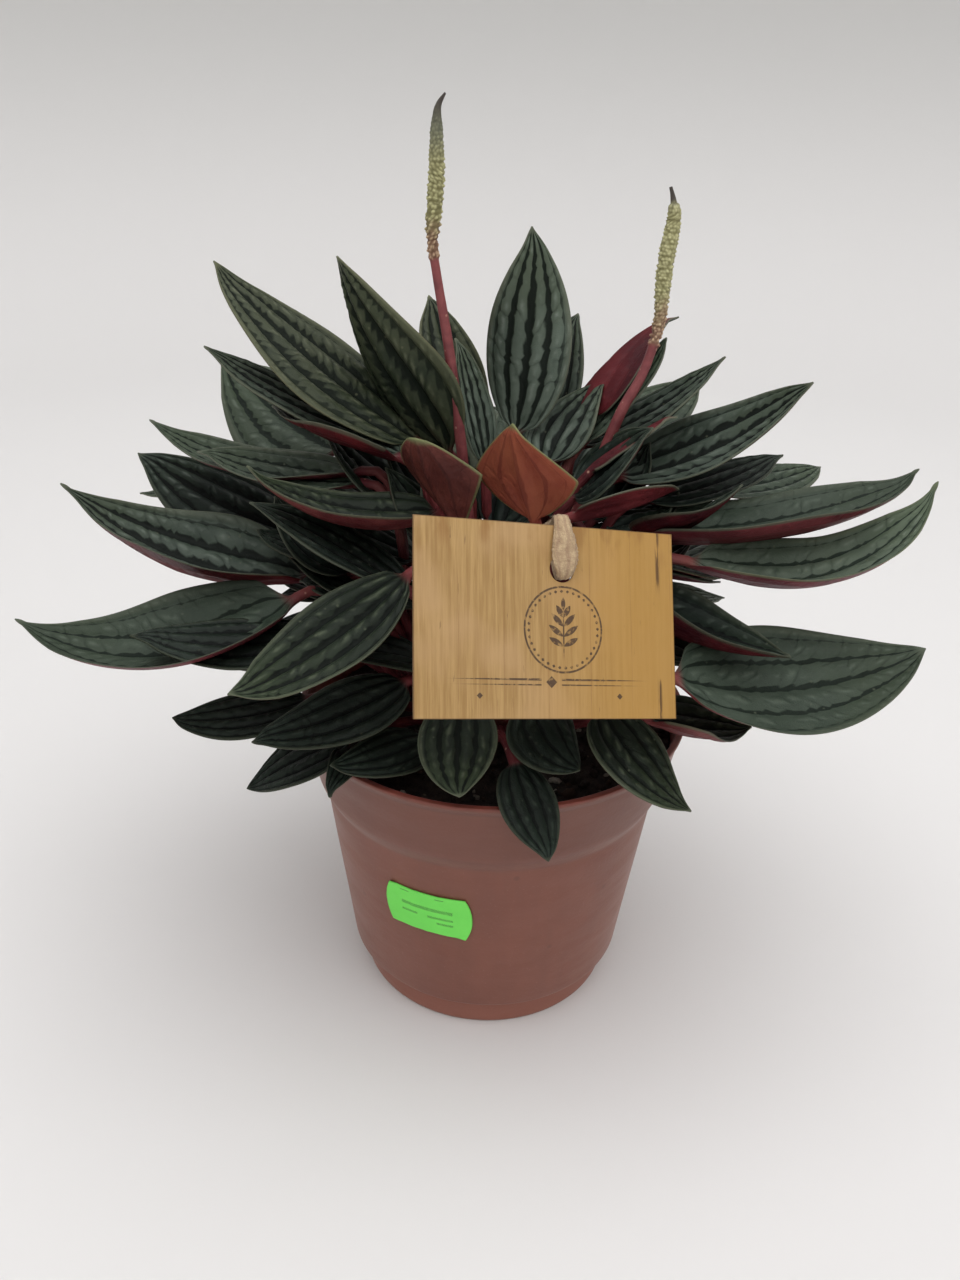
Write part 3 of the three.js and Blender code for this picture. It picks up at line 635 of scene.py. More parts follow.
def bladeRelief(across, arc, share, half, seed, shape):
    # Sine-shaped ridges between the long veins, times the half width, plus slanted puckers on the ridges and
    # a slow wave towards the edge. Returns the height, the vein coordinate, which is whole on each vein, and the
    # puckers' beat.
    turn = np.random.default_rng(seed).random(8) * 2 * math.pi
    size = np.abs(across)
    drift = 0.035 * np.sin(arc / 6.5 + turn[0] + np.sign(across) * 1.3) * size * (1 - size)
    panel = np.interp(size + drift, shape["veins"], range(len(shape["veins"])))
    number = np.minimum(panel.astype(int), 2)
    bulge = np.sin(np.pi * (panel - number)) ** 0.8 * np.array(shape["panelHeight"])[number]
    fade = smoothStep(share, 0, 0.12) * smoothStep(share, 1, 0.86)
    ridge = (bulge - 0.45) * shape["ridge"] * half * fade
    uneven = valueNoise(arc + 200, across * 9 + 240, 4.3, seed)
    beat = (arc - shape["slant"] * size * half) / shape["puckerPeriod"] + np.sign(across) * 0.25 + 0.5 * uneven
    strength = smoothStep(valueNoise(arc + 300, across * 9 + 340, 6.0, seed + 90), -0.8, 0.4)
    fine = smoothStep(panel, 1.1, 0.7)
    knobs = np.cos(2 * np.pi * beat) * (1 - 0.6 * fine) + 0.75 * np.cos(4 * np.pi * beat) * fine
    pucker = (knobs * strength + 0.5 * uneven) * bulge * shape["pucker"] * fade
    swing = np.sin(arc / half.max() * 2.1 + turn[3] + np.sign(across) * 1.1)
    wave = size**3 * half * shape["wave"] * swing * fade
    return (ridge + pucker) * shape["relief"] + wave, panel, beat


def leafSurface(ring, numbers, shape, seed):
    # Petiole: a cubic Bezier from the crown. Blade: a quadratic one, (1-t)^2 base + 2t(1-t) control + t^2 tip.
    # Each ring runs over the top from the left edge to the right one and back below it.
    base, tip = polar(*numbers[1:4]), polar(*numbers[4:7])
    width, arch, sway, roll, cup = numbers[7:]
    root, out = rootAt(numbers[0], ring)
    side, face = crossFrames(unit(tip - base)[None], 0.0)
    control = (base + tip) / 2 + 2 * arch * face[0] + 2 * sway * side[0]
    hook = np.random.default_rng(seed + 500).uniform(-1.1, 1.1, 2)

    rows = int(np.clip(np.linalg.norm(tip - base) / shape["rowGap"], *shape["rowLimits"]))
    t = np.linspace(0, 1, rows)[:, None]
    t = 0.75 * t + 0.25 * smoothStep(t, 0, 1)
    blade = (1 - t) ** 2 * base + 2 * t * (1 - t) * control + t**2 * tip
    bladeWay = unit(2 * (1 - t) * (control - base) + 2 * t * (tip - control))
    s = np.linspace(0, 1, shape["petioleRows"], endpoint=False)[:, None]
    bend = shape["petioleBend"] * np.linalg.norm(base - root)
    pull, push = root + out * bend, base - bladeWay[0] * bend
    stalk = (1 - s) ** 3 * root + 3 * (1 - s) ** 2 * s * pull + 3 * (1 - s) * s**2 * push + s**3 * base
    stalkWay = (1 - s) ** 2 * (pull - root) + 2 * (1 - s) * s * (push - pull) + s**2 * (base - push)

    share = np.concatenate([s * 0, t])
    steps = np.linalg.norm(np.diff(blade, axis=0, prepend=base[None]), axis=1, keepdims=True)
    arc = np.concatenate([s * 0, np.cumsum(steps, axis=0)])
    twist = np.concatenate([s, t * 0 + 1]) * roll + shape["over"]
    side, face = crossFrames(np.concatenate([unit(stalkWay), bladeWay]), twist[:, 0])
    hooked = smoothStep(share, 0.86, 1.0) ** 2 * (side * hook[0] + face * hook[1])
    centre = np.concatenate([stalk, blade]) + hooked
    isBlade = smoothStep(share, 0.0, 0.07)
    blunt = shape["bluntSize"] * np.sqrt(np.clip((1 - share) / shape["bluntReach"], 0.04, 1))
    half = np.maximum(bladeFullness(share, shape) * width / 2, blunt)

    above, below = (columnPlaces(shape[key], shape["veins"]) for key in ("topSteps", "underSteps"))
    across = np.concatenate([above, below[::-1]])
    under = np.repeat([0.0, 1.0], [len(above), len(below)])
    height, panel, beat = bladeRelief(across, arc, share, half, seed, shape)
    keel = shape["keel"] * (1 - share) ** 1.3 * np.exp(-((across * half / shape["keelWidth"]) ** 2))
    plump = shape["edgeThickness"] * (0.5 + 0.5 * (1 - across**2) ** 0.5)
    towards = across * (-1 if side[-1, 1] > 0 else 1)
    isFront = smoothStep(towards, 0.0, 0.35)
    eased = smoothStep(share, shape["until"], shape["until"] - 0.45)
    turnedUp = shape["hem"] * eased * np.clip((towards - 0.7) / 0.3, 0, 1) ** 1.5
    cupped = (-cup if shape["over"] else cup) + shape["curl"] * isFront * eased
    plumped = np.where(under > 0, -plump / 2 - keel, plump / 2)
    bladeUp = (cupped * across**2 + turnedUp) * half + height + plumped
    bladeSide = across * half * (1 + (shape["widened"] - 1) * isFront)
    angle = np.pi * (1 - across) / 2
    radius = shape["petioleRadius"] * (1 + 0.25 * np.concatenate([(1 - s) ** 6, t * 0]))
    stemSide, stemUp = radius * np.cos(angle), radius * np.sin(angle) * np.where(under > 0, -1, 0.82)
    x = stemSide + (bladeSide - stemSide) * isBlade
    y = stemUp + (bladeUp - stemUp) * isBlade
    fields = {
        "panel": panel, "strength": np.interp(panel, np.arange(7) / 2, shape["veinStrength"]), "beat": beat,
        "fromEdge": (1 - np.abs(across)) * half + 4 * (1 - isBlade), "under": under,
        "stem": 1 - smoothStep(share, 0.0, 0.05), "along": share,
    }
    return sealed(ringGrid(centre, side, face, x, y), fields)


def growLeaves():
    # The seed of each leaf is its place in the two tables.
    materials = {look: makeMaterial("leaf_" + look, paintLeaf, *row) for look, row in leafLooks.items()}
    changes = {words[0]: words[1:] for words in map(str.split, leafChanges.strip().split("\n"))}
    lines = (leafTable + fillerTable).split("\n")
    for seed, line in enumerate(line for line in lines if line):
        name, look, ring, *words = line.split()
        isFiller = name.startswith("fill_")
        own = {key: float(value) for key, value in (word.split("=") for word in changes.get(name, []))}
        shape = {**leafShape, **(fillerShape if isFiller else {}), **own}
        numbers = [float(word) for word in words]
        nodes = [] if isFiller else ["leaf_" + name]
        addPiece("ripple_" + name, "leaf", materials[look], leafSurface(ring, numbers, shape, seed), *nodes)
    print("leaves grown:", seed + 1)


growLeaves()


# ---- flower spikes ----
spikes = {
    "left": {
        "root": (150, "top"), "tailStart": 0.749, "witheredFrom": 0.86, "brownUntil": 0.36, "greyFrom": 0.56,
        "beadsUntil": (0.5, 0.9), "seed": 3, "tone": 0.0,
        "route": [
            (-7, 2, 140), (-10.5, 2, 172), (-12.5, 2, 187.3), (-15.3, 1, 207), (-17.9, -0.5, 221.9),
            (-19.2, -1.5, 231.3), (-19, -2, 235.9), (-18.2, -2, 247), (-18.2, -2.6, 256.5),
            (-17.8, -3.4, 262.2), (-16.1, -4, 265),
        ],
        "girth": [
            (0, 1.15), (0.03, 1.25), (0.06, 1.2), (0.13, 1.3), (0.22, 1.65), (0.34, 1.8), (0.55, 1.75),
            (0.68, 1.6), (0.8, 1.35), (0.9, 0.85), (1, 0.25),
        ],
    },
    "right": {
        "root": (-20, "top"), "tailStart": 0.712, "witheredFrom": 0.893, "brownUntil": 0.12, "greyFrom": 0.8,
        "beadsUntil": (0.8, 0.92), "seed": 8, "tone": 1.0,
        "route": [
            (14, -2, 138), (27, 1, 171), (33.2, 1.5, 188.5), (37.8, 3, 197.4), (40.6, 5, 205.5),
            (41.9, 6, 212.4), (42, 7, 220.8), (42.4, 7.5, 229.1),
            (43.3, 8, 237.3), (42.9, 8, 241), (41.7, 8, 245.1),
        ],
        "girth": [
            (0, 1.3), (0.02, 1.55), (0.05, 1.25), (0.09, 1.3), (0.18, 1.45), (0.3, 1.6), (0.42, 1.9),
            (0.65, 1.9), (0.74, 1.75), (0.82, 1.6), (0.88, 1.5), (0.893, 1.3),
            (0.9, 0.85), (0.97, 0.5), (1, 0.42),
        ],
    },
}
spikeShape = {
    "footRadius": 1.1, "stalkRadius": 1.55, "foot": (0.15, 0.4), "start": 8.0, "stalkRows": 60, "columns": 64,
    "rowGap": 0.19, "around": 12, "beadGap": 1.0, "bead": 0.5,
}


def paintSpike(shade):
    # A speckled red stalk, then beads that are brown at first, ripe, grey and withered, each paler towards its
    # top: the flowers' paler tips with a painted highlight.
    spots, bead = shade.use(flecks, Spots=700.0, Share=0.1, Cloud=160.0), shade.mask("bead")
    stalk = spots["Mottle"].mix(srgb("6c3034"), srgb("8e4c4c"))
    stalk = layered(stalk, (spots["Fleck"] * 0.5, srgb("d6aa96")))
    # Each bead is paler towards its top: the flowers' own paler tips with a painted highlight.
    pale = bead.mix(srgb("8c885c"), srgb("d2cea0"))
    ripe = layered(bead.mix(srgb("7a764e"), srgb("c0bd8c")), (shade.mask("tone") * 0.5, pale))
    tail = layered(
        bead.mix(srgb("7a5a46"), srgb("c4a688")),
        ((spots["Mottle"] * 0.12 + shade.mask("tail")).ease(0.16, 0.42), ripe),
        (shade.mask("greyed"), bead.mix(srgb("626452"), srgb("82836a"))),
        (shade.mask("withered"), srgb("463f3a")),
    )
    colour = layered(stalk, (shade.mask("beaded"), tail))
    normal = shade.bump(shade.use(skinGrain, Scale=3000.0, Swell=600.0)["Height"], 0.4, 0.0002)
    constants = {"Specular IOR Level": 0.4, "Subsurface Scale": 0.002}
    return colour, spots["Mottle"].ease(0.0, 1.0, 0.42, 0.6), normal, constants


def spikeSurface(spec, shape):
    # Round sections along a spline. Beads sit on a lattice of turned rows, and each rises by
    # 1 - (distance / 0.62)^1.3.
    root, out = rootAt(*spec["root"])
    rough, length = splinePath([root + out * seatGap, root + out * shape["start"], *spec["route"]], 400)
    keys = ("tailStart", "greyFrom", "witheredFrom", "beadsUntil")
    start, grey, withered, beadEnds = (spec[key] for key in keys)
    tailRows = np.linspace(start, 1, int(length * (1 - start) / shape["rowGap"]))
    s = np.concatenate([np.linspace(0, start, shape["stalkRows"], endpoint=False), tailRows])
    path = np.stack([np.interp(s, np.linspace(0, 1, 400), column) for column in rough.T], -1)
    side, face = crossFrames(unit(np.gradient(path, axis=0)), 0.0)
    s = s[:, None]
    tail = np.clip((s - start) / (1 - start), 0, 1)
    stalk = shape["footRadius"] + (shape["stalkRadius"] - shape["footRadius"]) * smoothStep(s, *shape["foot"])
    stalk += (spec["girth"][0][1] - shape["stalkRadius"]) * smoothStep(s, 0.5, start)
    radius = np.where(tail > 0, np.interp(tail, *np.array(spec["girth"]).T), stalk)
    turn, along = fullTurn(shape["columns"]), (s - start) * length
    u = turn / (2 * np.pi) * shape["around"] + 0 * along
    v = along / shape["beadGap"] + 0 * turn
    jitter = np.random.default_rng(spec["seed"]).random((3, 400, shape["around"]))
    bump = np.zeros_like(u)
    for stepU, stepV in np.ndindex(3, 3):
        cellU, cellV = np.round(u).astype(int) + stepU - 1, np.round(v).astype(int) + stepV - 1
        moveU, moveV, size = jitter[:, cellV % 400, cellU % shape["around"]]
        far = np.hypot(u - cellU - 0.5 * (cellV % 2) - 0.7 * moveU + 0.6, v - cellV - 0.6 * moveV + 0.3)
        kept = (size > 0.5) | (tail > spec["brownUntil"])
        bump = np.maximum(bump, (0.45 + 0.75 * size) * kept * (1 - (far / 0.62) ** 1.3).clip(0))
    beaded = smoothStep(tail, 0.0, 0.03) * (1 - smoothStep(tail, beadEnds[1] - 0.08, beadEnds[1]))
    ringed = 0.12 * np.cos(2 * np.pi * along / shape["beadGap"] / 1.5) * (1 - smoothStep(tail, 0.5, 0.8))
    lift = (bump * (0.35 + 0.65 * (1 - smoothStep(tail, *beadEnds))) * shape["bead"] + ringed) * beaded
    size = radius + lift + 0.05 * valueNoise(turn * 3 + 40, s * length / 1.5 + 50, 1.0, spec["seed"])
    lasting = 0.9 - grey
    fields = {
        "tone": spec["tone"], "bead": bump.clip(0, 1), "tail": tail, "beaded": smoothStep(tail, 0.0, 0.04),
        "greyed": smoothStep(tail, grey, grey + 0.25),
        "withered": smoothStep(tail, withered - 0.8 * lasting**2, withered + 0.01 + 0.3 * lasting),
    }
    return sealed(ringGrid(path, side, face, -size * np.cos(turn), size * np.sin(turn)), fields)


spikeFlesh = makeMaterial("spikeFlesh", paintSpike)
for name, spec in spikes.items():
    addPiece("spike_" + name, "spike", spikeFlesh, spikeSurface(spec, spikeShape), "flower_spike_" + name)
print("flower spikes grown")


# ---- pot ----
pot = {
    "rimRadius": 60.0, "height": 97.0, "wall": 1.2, "collarBottom": 73.0, "collarRadius": 55.3,
    "bodyTop": 52.8, "bodyFoot": 45.4, "heelHeight": 10.0, "heelRadius": 41.5, "flare": 0.6, "ledge": 2.4,
    "band": 3.0, "lip": 2.0, "drainRing": 30.0, "drainRadius": 4.0, "drainCount": 6,
    "inner": 24.0, "outer": 36.0, "segments": 144,
}


def roundedProfile(corners, steps=5):
    # Corners are (radius, height, rounding). Each becomes a short quadratic curve between its two legs.
    points = []
    places = np.array([corner[:2] for corner in corners], float)
    for i, corner in enumerate(corners):
        if i in (0, len(corners) - 1) or corner[2] == 0:
            points.append(places[i])
            continue
        before, after = places[i - 1] - places[i], places[i + 1] - places[i]
        near = min(corner[2], 0.45 * np.linalg.norm(before), 0.45 * np.linalg.norm(after))
        start, end = places[i] + unit(before) * near, places[i] + unit(after) * near
        for s in np.linspace(0, 1, steps):
            points.append((1 - s) ** 2 * start + 2 * s * (1 - s) * places[i] + s * s * end)
    return np.array(points)


def fineProfile(points, gap):
    # Adds points along legs that are longer than the gap.
    fine = [points[:1]]
    for a, b in zip(points[:-1], points[1:]):
        count = max(1, int(np.ceil(np.linalg.norm(b - a) / gap)))
        fine.append(a + (b - a) * (np.arange(1, count + 1) / count)[:, None])
    return np.concatenate(fine)


def spin(profile, segments):
    # (r cos a, r sin a, z) for each profile point and angle.
    angle = fullTurn(segments)
    radius, height = profile[:, :1], profile[:, 1:2]
    return np.stack([radius * np.cos(angle), radius * np.sin(angle), height + 0 * angle], -1)


def pushOut(grid, angle, lift):
    # Moves each column of a spun grid away from the axis by its lift.
    grid[..., 0] += lift * np.cos(angle)
    grid[..., 1] += lift * np.sin(angle)


def holeRings(centre, radius, edge, shares):
    # Rings between a hole's circle and the outline round it, (1 - q) circle + q outline for each share q.
    circle = centre + radius * circlePoints(np.arctan2(*(edge - centre).T[::-1]))
    q = np.asarray(shares)[:, None, None]
    return (1 - q) * circle + q * edge


def drainPatch(spec, index):
    # The rings between a drain hole and its sector of the pot's floor.
    count = spec["segments"] // spec["drainCount"]
    step = 2 * np.pi / spec["drainCount"]
    middle = (index + 0.5) * step
    turns = np.linspace(-step / 2, step / 2, count + 1)
    radii = np.linspace(spec["inner"], spec["outer"], count // 4 + 1)
    outline = [(spec["outer"], turn) for turn in turns[:-1]] + [(radius, turns[-1]) for radius in radii[:0:-1]]
    outline += [(spec["inner"], turn) for turn in turns[:0:-1]] + [(radius, turns[0]) for radius in radii[:-1]]
    radius, turn = np.array(outline).T
    centre = spec["drainRing"] * circlePoints(middle)
    edge = radius[:, None] * circlePoints(turn + middle)
    return holeRings(centre, spec["drainRadius"], edge, np.linspace(0, 1, 5))


def potSurface(spec):
    # A lathed shell, two discs, and patches that carry the drain holes between them.
    wall, rim, top, ledge, segments = (spec[key] for key in ("wall", "rimRadius", "height", "ledge", "segments"))
    heel, foot, body, collar = (spec[key] for key in ("heelRadius", "bodyFoot", "bodyTop", "collarRadius"))
    flared, heelTop = heel + spec["flare"], spec["heelHeight"]
    step, band = spec["collarBottom"], top - spec["band"]
    outside = [
        (spec["outer"], 0, 0), (heel, 0, 1.2), (flared, heelTop, 0.6), (foot, heelTop + 1, 0.8),
        (body, step - ledge, 1.0), (collar, step + ledge, 1.6), (rim - 1, band, 0.5),
        (rim, band + 2, 0.8), (rim, top, 0.8),
    ]
    inside = [
        (rim - spec["lip"], top, 0.7), (collar - wall, step + ledge + 0.4, 1.2),
        (body - wall, step - ledge + 0.4, 1.0), (foot - wall, heelTop + 2, 0.8),
        (flared - wall, heelTop + 1, 0.6), (heel - wall, wall, 1.0), (spec["outer"], wall, 0),
    ]
    shell = spin(fineProfile(roundedProfile(outside + inside), 2.5), segments)
    angle, level = fullTurn(segments), shell[..., 2]
    uneven = 0.12 * valueNoise(np.cos(angle) * 3 + 20, level / 30 + np.sin(angle) * 3 + 20, 1.0, 4)
    pushOut(shell, angle, smoothStep(level, 3, 14) * (uneven + 0.1 * np.cos(2 * angle + 0.6)))
    parts = [(shell.reshape(-1, 3), [ringFaces(len(shell), segments)[:, ::-1]], {})]
    for height in (0.0, wall):
        disc = spin(np.array([(radius, height) for radius in (0, 8, 16, spec["inner"])], float), segments)
        parts.append((disc.reshape(-1, 3), [ringFaces(4, segments)[:, :: -1 if height else 1]], {}))
    for index in range(spec["drainCount"]):
        flat = drainPatch(spec, index)
        barrel = []
        for height in (0.0, wall):
            grid = np.concatenate([flat, np.full((*flat.shape[:2], 1), height)], -1)
            barrel.append(grid[0])
            parts.append((grid.reshape(-1, 3), [ringFaces(5, flat.shape[1])[:, :: 1 if height else -1]], {}))
        parts.append((np.concatenate(barrel), [ringFaces(2, flat.shape[1])], {}))
    points, faces, masks = weldPoints(*joinParts(parts))
    height = points[:, 2]
    # Inner marks the pot's inside and lip its top edge; both take the painted darker, redder inside colour.
    outer = np.interp(height, [0, 10, 11, 70.6, 75.4, 94, 97], [41.5, 42.1, 45.4, 52.8, 55.3, 59, 60])
    inner = np.where(height < 0.5, 0, smoothStep(outer - np.hypot(points[:, 0], points[:, 1]), 0.5, 1.0))
    return points, faces, {"inner": inner, "lip": smoothStep(height, 95.6, 97.0)}


def paintPot(shade):
    # Mottled, streaked and scuffed clay colour, with painted shade and light: a darker collar, thin dark
    # bands at the heel, collar and rim edges, a darker, redder inside and lip, and a lighter foot below the
    # heel.
    spots = shade.use(flecks, Spots=260.0, Share=0.05, Cloud=22.0)
    fine = shade.use(flecks, Spots=1500.0, Share=0.08, Cloud=240.0)
    streaks = shade.noise(shade.place((1, 1, 0.12)), 130.0)
    scuffs = shade.noise(shade.place((1, 1, 5)), 34.0, 5.0, 0.7)
    height = shade.axes(shade.place())[2]
    body = layered(
        spots["Mottle"].mix(srgb("744335"), srgb("7e4b3c")),
        (streaks.ease(0.35, 0.75, 0.0, 0.3), srgb("6a3f34")),
        (scuffs.ease(0.62, 0.8, 0.0, 0.3), srgb("926a5e")),
        (fine["Fleck"] * 0.25, srgb("a48276")),
        (spots["Fleck"] * 0.35, srgb("503028")),
        # Painted shade: the collar is darker where the leaves above shade it.
        (height.ease(0.071, 0.079, 0.0, 0.5), srgb("5e392f")),
    )
    # Painted shade: thin dark bands at the heel step, the collar step and the rim edge dim the light lines their
    # rounded edges catch.
    for level, reach in ((0.0106, 0.0009), (0.073, 0.0024), (0.0946, 0.0009)):
        body = layered(body, (abs(height - level).ease(reach * 0.5, reach * 1.5, 0.3, 0.0), srgb("4e2e26")))
    # Painted light: the colour below the heel is lighter, for light thrown up from the floor.
    body = layered(body, (height.ease(0.0096, 0.0102, 0.75, 0.0), srgb("945c4c")))
    # Painted shade and light through the plastic: the inside and the lip are a darker, redder red.
    inside = fine["Mottle"].mix(srgb("702c22"), srgb("80362a"))
    colour = layered(body, (shade.mask("inner").calc("MAXIMUM", shade.mask("lip") * 0.55), inside))
    normal = shade.bump(streaks * 0.4 + shade.noise(shade.place(), 900.0, 4.0, 0.6), 0.16, 0.0004)
    constants = {"Specular IOR Level": 0.45, "Sheen Weight": 0.22, "Sheen Roughness": 0.4}
    constants["Sheen Tint"] = srgb("ffe2d6")
    return colour, scuffs.ease(0.3, 0.8, 0.42, 0.6), normal, constants


addPiece("nursery_pot", "pot_plastic", makeMaterial("terracottaPlastic", paintPot), potSurface(pot), "pot")
print("pot moulded")


# ---- soil ----
soil = {"gap": 1.5, "edge": 88.0, "crumbs": 900, "crumbSeed": 21, "segments": 168}


def soilTop(x, y):
    # A gentle rise to the middle with crumbs of four sizes on it.
    reach = np.hypot(x, y)
    slope = np.interp(reach, [0, 15, 26, 36, 47, 57], [90.0, 90.0, 89.2, 89.0, 88.8, 88.0])
    sizes = ((0.8, 11, 1), (0.6, 4.6, 2), (0.42, 2.1, 3), (0.2, 1.1, 4))
    lumps = sum(size * valueNoise(x + 300, y + 300, cell, seed) for size, cell, seed in sizes)
    return slope + lumps * smoothStep(reach, 57, 52)


def crumbShapes(count, seed):
    # Small lumps: rough balls with uneven radii, scattered evenly over the soil.
    rng = np.random.default_rng(seed)
    reach, turn = 54 * np.sqrt(rng.uniform(0.06, 1, count)), rng.uniform(0, 2 * np.pi, count)
    x, y = reach * np.cos(turn), reach * np.sin(turn)
    size = rng.gamma(3.0, 0.28, count).clip(0.3, 2.0)
    lat = np.radians([-50, 0, 50])
    ball = spin(np.stack([np.cos(lat), np.sin(lat)], -1), 6).reshape(-1, 3)
    ball = np.concatenate([ball, [[0, 0, -1], [0, 0, 1]]])
    uneven = rng.uniform(0.7, 1.25, (count, len(ball), 1))
    shape = ball[None] * uneven * (size[:, None] * rng.uniform(0.6, 1.2, (count, 3)))[:, None, :]
    centre = np.stack([x, y, soilTop(x, y) + size * 0.25], -1)
    starts = (np.arange(count) * len(ball))[:, None, None]
    faces = [(part[None] + starts).reshape(-1, part.shape[1]) for part in tubeFaces(3, 6)]
    pale = (rng.random(count) < 0.07).astype(float)
    masks = {"pale": np.repeat(pale, len(ball)), "warm": np.repeat(rng.random(count), len(ball))}
    return (shape + centre[:, None]).reshape(-1, 3), faces, masks


def soilSurface(spec):
    # A closed body: crumbly top on a polar grid, then down the pot's inner wall and across its floor.
    gap, segments = spec["gap"], spec["segments"]
    rim, body, foot, heel = (pot[key] - gap for key in ("collarRadius", "bodyTop", "bodyFoot", "heelRadius"))
    rings = np.linspace(0, rim + 2.4, 66)
    top = spin(np.stack([rings, rings * 0], -1), segments)
    top[..., 2] = soilTop(top[..., 0], top[..., 1])
    wall = [
        (rim + 2.4, spec["edge"]), (rim, 74.8), (body, 72.8), (foot, 12.4),
        (heel + pot["flare"], 11.4), (heel, 2.5), (heel - 1, 1.5), (0, 1.5),
    ]
    grid = np.concatenate([top, spin(fineProfile(np.array(wall, float), 6.0), segments)[1:]])
    points = grid.reshape(-1, 3)
    flat = {"pale": np.zeros(len(points)), "warm": np.full(len(points), 0.5)}
    body = weldPoints(points, [ringFaces(len(grid), segments)], flat)
    return joinParts([body, crumbShapes(spec["crumbs"], spec["crumbSeed"])])


def paintSoil(shade):
    # Dark peat with warmer crumbs, pale specks and pale grit.
    spots = shade.use(flecks, Spots=420.0, Share=0.05, Cloud=300.0)
    colour = layered(
        spots["Mottle"].mix(srgb("16110f"), srgb("2c221c")),
        (shade.mask("warm").ease(0.6, 1.0, 0.0, 0.6), srgb("422e22")),
        (spots["Fleck"] * 0.5, srgb("786c5c")),
        (shade.mask("pale"), spots["Mottle"].mix(srgb("686258"), srgb("969086"))),
    )
    normal = shade.bump(shade.noise(shade.place(), 1400.0, 5.0, 0.7), 0.8, 0.0006)
    return colour, spots["Mottle"].ease(0.0, 1.0, 0.95, 0.75), normal, {"Specular IOR Level": 0.25}


addPiece("potting_soil", "soil", makeMaterial("pottingSoil", paintSoil), soilSurface(soil), "soil")
print("soil filled in")


# ---- crown ----
crown = {"foot": 90.5, "footRadius": 14.0, "top": 112.4, "topRadius": 2.5, "segments": 96}


def crownSurface(spec):
    # A lathed dome whose skin swells into rounded leaf bases, each a cosine bump on a turned lattice.
    corners = [(radius, height, 2.0) for radius, height, rise in crownRings.values()]
    corners = [(spec["footRadius"], spec["foot"], 0), *corners, (spec["topRadius"], spec["top"], 1.0)]
    profile = fineProfile(roundedProfile(corners), 0.7)
    profile = np.concatenate([[[0.0, spec["foot"]]], profile, [[0.0, spec["top"]]]])
    grid, angle = spin(profile, spec["segments"]), fullTurn(spec["segments"])
    height = grid[..., 2]
    row = (height - 92) / 4.6
    lattice = np.cos(angle * 8 + row * np.pi) * np.cos(row * np.pi * 2)
    lift = 0.55 * lattice + 0.3 * valueNoise(angle * 6 + 30, height + 30, 1.2, 9)
    away = smoothStep(profile[:, :1], 1, 5)
    pushOut(grid, angle, away * (lift * smoothStep(height, 90.6, 92) - 0.5))
    faces = [ringFaces(len(profile), spec["segments"])[:, ::-1]]
    return weldPoints(grid.reshape(-1, 3), faces, {"scar": lattice.ravel()})


def paintCrown(shade):
    # Red flesh that turns brown in the scars between leaf bases.
    spots = shade.use(flecks, Spots=700.0, Share=0.15, Cloud=180.0)
    colour = layered(
        spots["Mottle"].mix(srgb("542222"), srgb("823e38")),
        (shade.mask("scar").ease(0.1, 0.9, 0.5, 0.0), srgb("34221a")),
        (spots["Fleck"] * 0.5, srgb("96785c")),
    )
    normal = shade.bump(shade.use(skinGrain, Scale=1800.0, Swell=500.0)["Height"], 0.6, 0.0004)
    return colour, spots["Mottle"].ease(0.0, 1.0, 0.5, 0.7), normal, {"Specular IOR Level": 0.35}


addPiece("crown_stem", "stem", makeMaterial("crownStem", paintCrown), crownSurface(crown), "crown")
print("crown shaped")


# ---- card ----
card = {
    "size": (71.0, 48.0), "thickness": 1.0, "centre": (12.7, -54.0, 150.0),
    "pitch": -30.4, "roll": 11.8, "yaw": 26.1, "hole": (3.3, 13.1), "holeRadius": 3.4,
    "rings": 26, "perSide": (60, 40), "stamp": (3.5, -2.6),
}


def cardSurface(spec):
    # Rings blended from the hole's circle to the card's outline, one set in front and one behind, joined at
    # both edges. The card is turned about Z by its yaw, then X by its pitch, then Y by its roll.
    size = np.array(spec["size"])
    corners = np.array([(-1, -1), (1, -1), (1, 1), (-1, 1), (-1, -1)]) * size / 2
    edge = []
    for start, end, count in zip(corners, corners[1:], spec["perSide"] * 2):
        edge.append(start + (end - start) * np.linspace(0, 1, count, endpoint=False)[:, None])
    shares = np.concatenate([[0, 0.006], np.linspace(0.02, 1, spec["rings"])[:-1] ** 1.2, [0.995, 1]])
    flat = holeRings(np.array(spec["hole"]), spec["holeRadius"], np.concatenate(edge), shares)
    x, z = np.moveaxis(flat, -1, 0)
    bow = 0.15 * (x / size[0] * 2) ** 2 - 0.072 * (z / size[1] * 2) ** 2
    half = spec["thickness"] / 2 - 0.12
    front, back = np.stack([x, bow - half, z], -1), np.stack([x, bow + half, z], -1)[::-1]
    grid = np.concatenate([front, back, front[:1]])
    points, count = grid.reshape(-1, 3), grid.shape[1]
    place = points[:, [0, 2]]
    masks = {
        "back": np.repeat([0.0, 1.0, 0.0], [len(flat) * count, len(flat) * count, count]),
        "fromEdge": (size / 2 - np.abs(place)).min(1),
    }
    turn = Matrix.Identity(3)
    for axis, key in (("Z", "yaw"), ("X", "pitch"), ("Y", "roll")):
        turn = turn @ Matrix.Rotation(math.radians(spec[key]), 3, axis)
    turned = points @ np.array(turn).T + np.array(spec["centre"])
    return turned, [ringFaces(len(grid), count)[:, ::-1]], masks, place / size + 0.5


def paintLens(shade, given):
    # Ink is 1 inside a leaf shape |y| < width (1 - (x / length)^2) about a centre, turned by an angle.
    x, z = given["X"] - given["AtX"], given["Z"] - given["AtZ"]
    cosine, sine = given["Turn"].calc("COSINE"), given["Turn"].calc("SINE")
    share = (x * cosine + z * sine) / given["Length"]
    room = (1.0 - share * share) * given["Width"]
    return {"Ink": (room - abs(z * cosine - x * sine)).ease(-0.05, 0.08)}


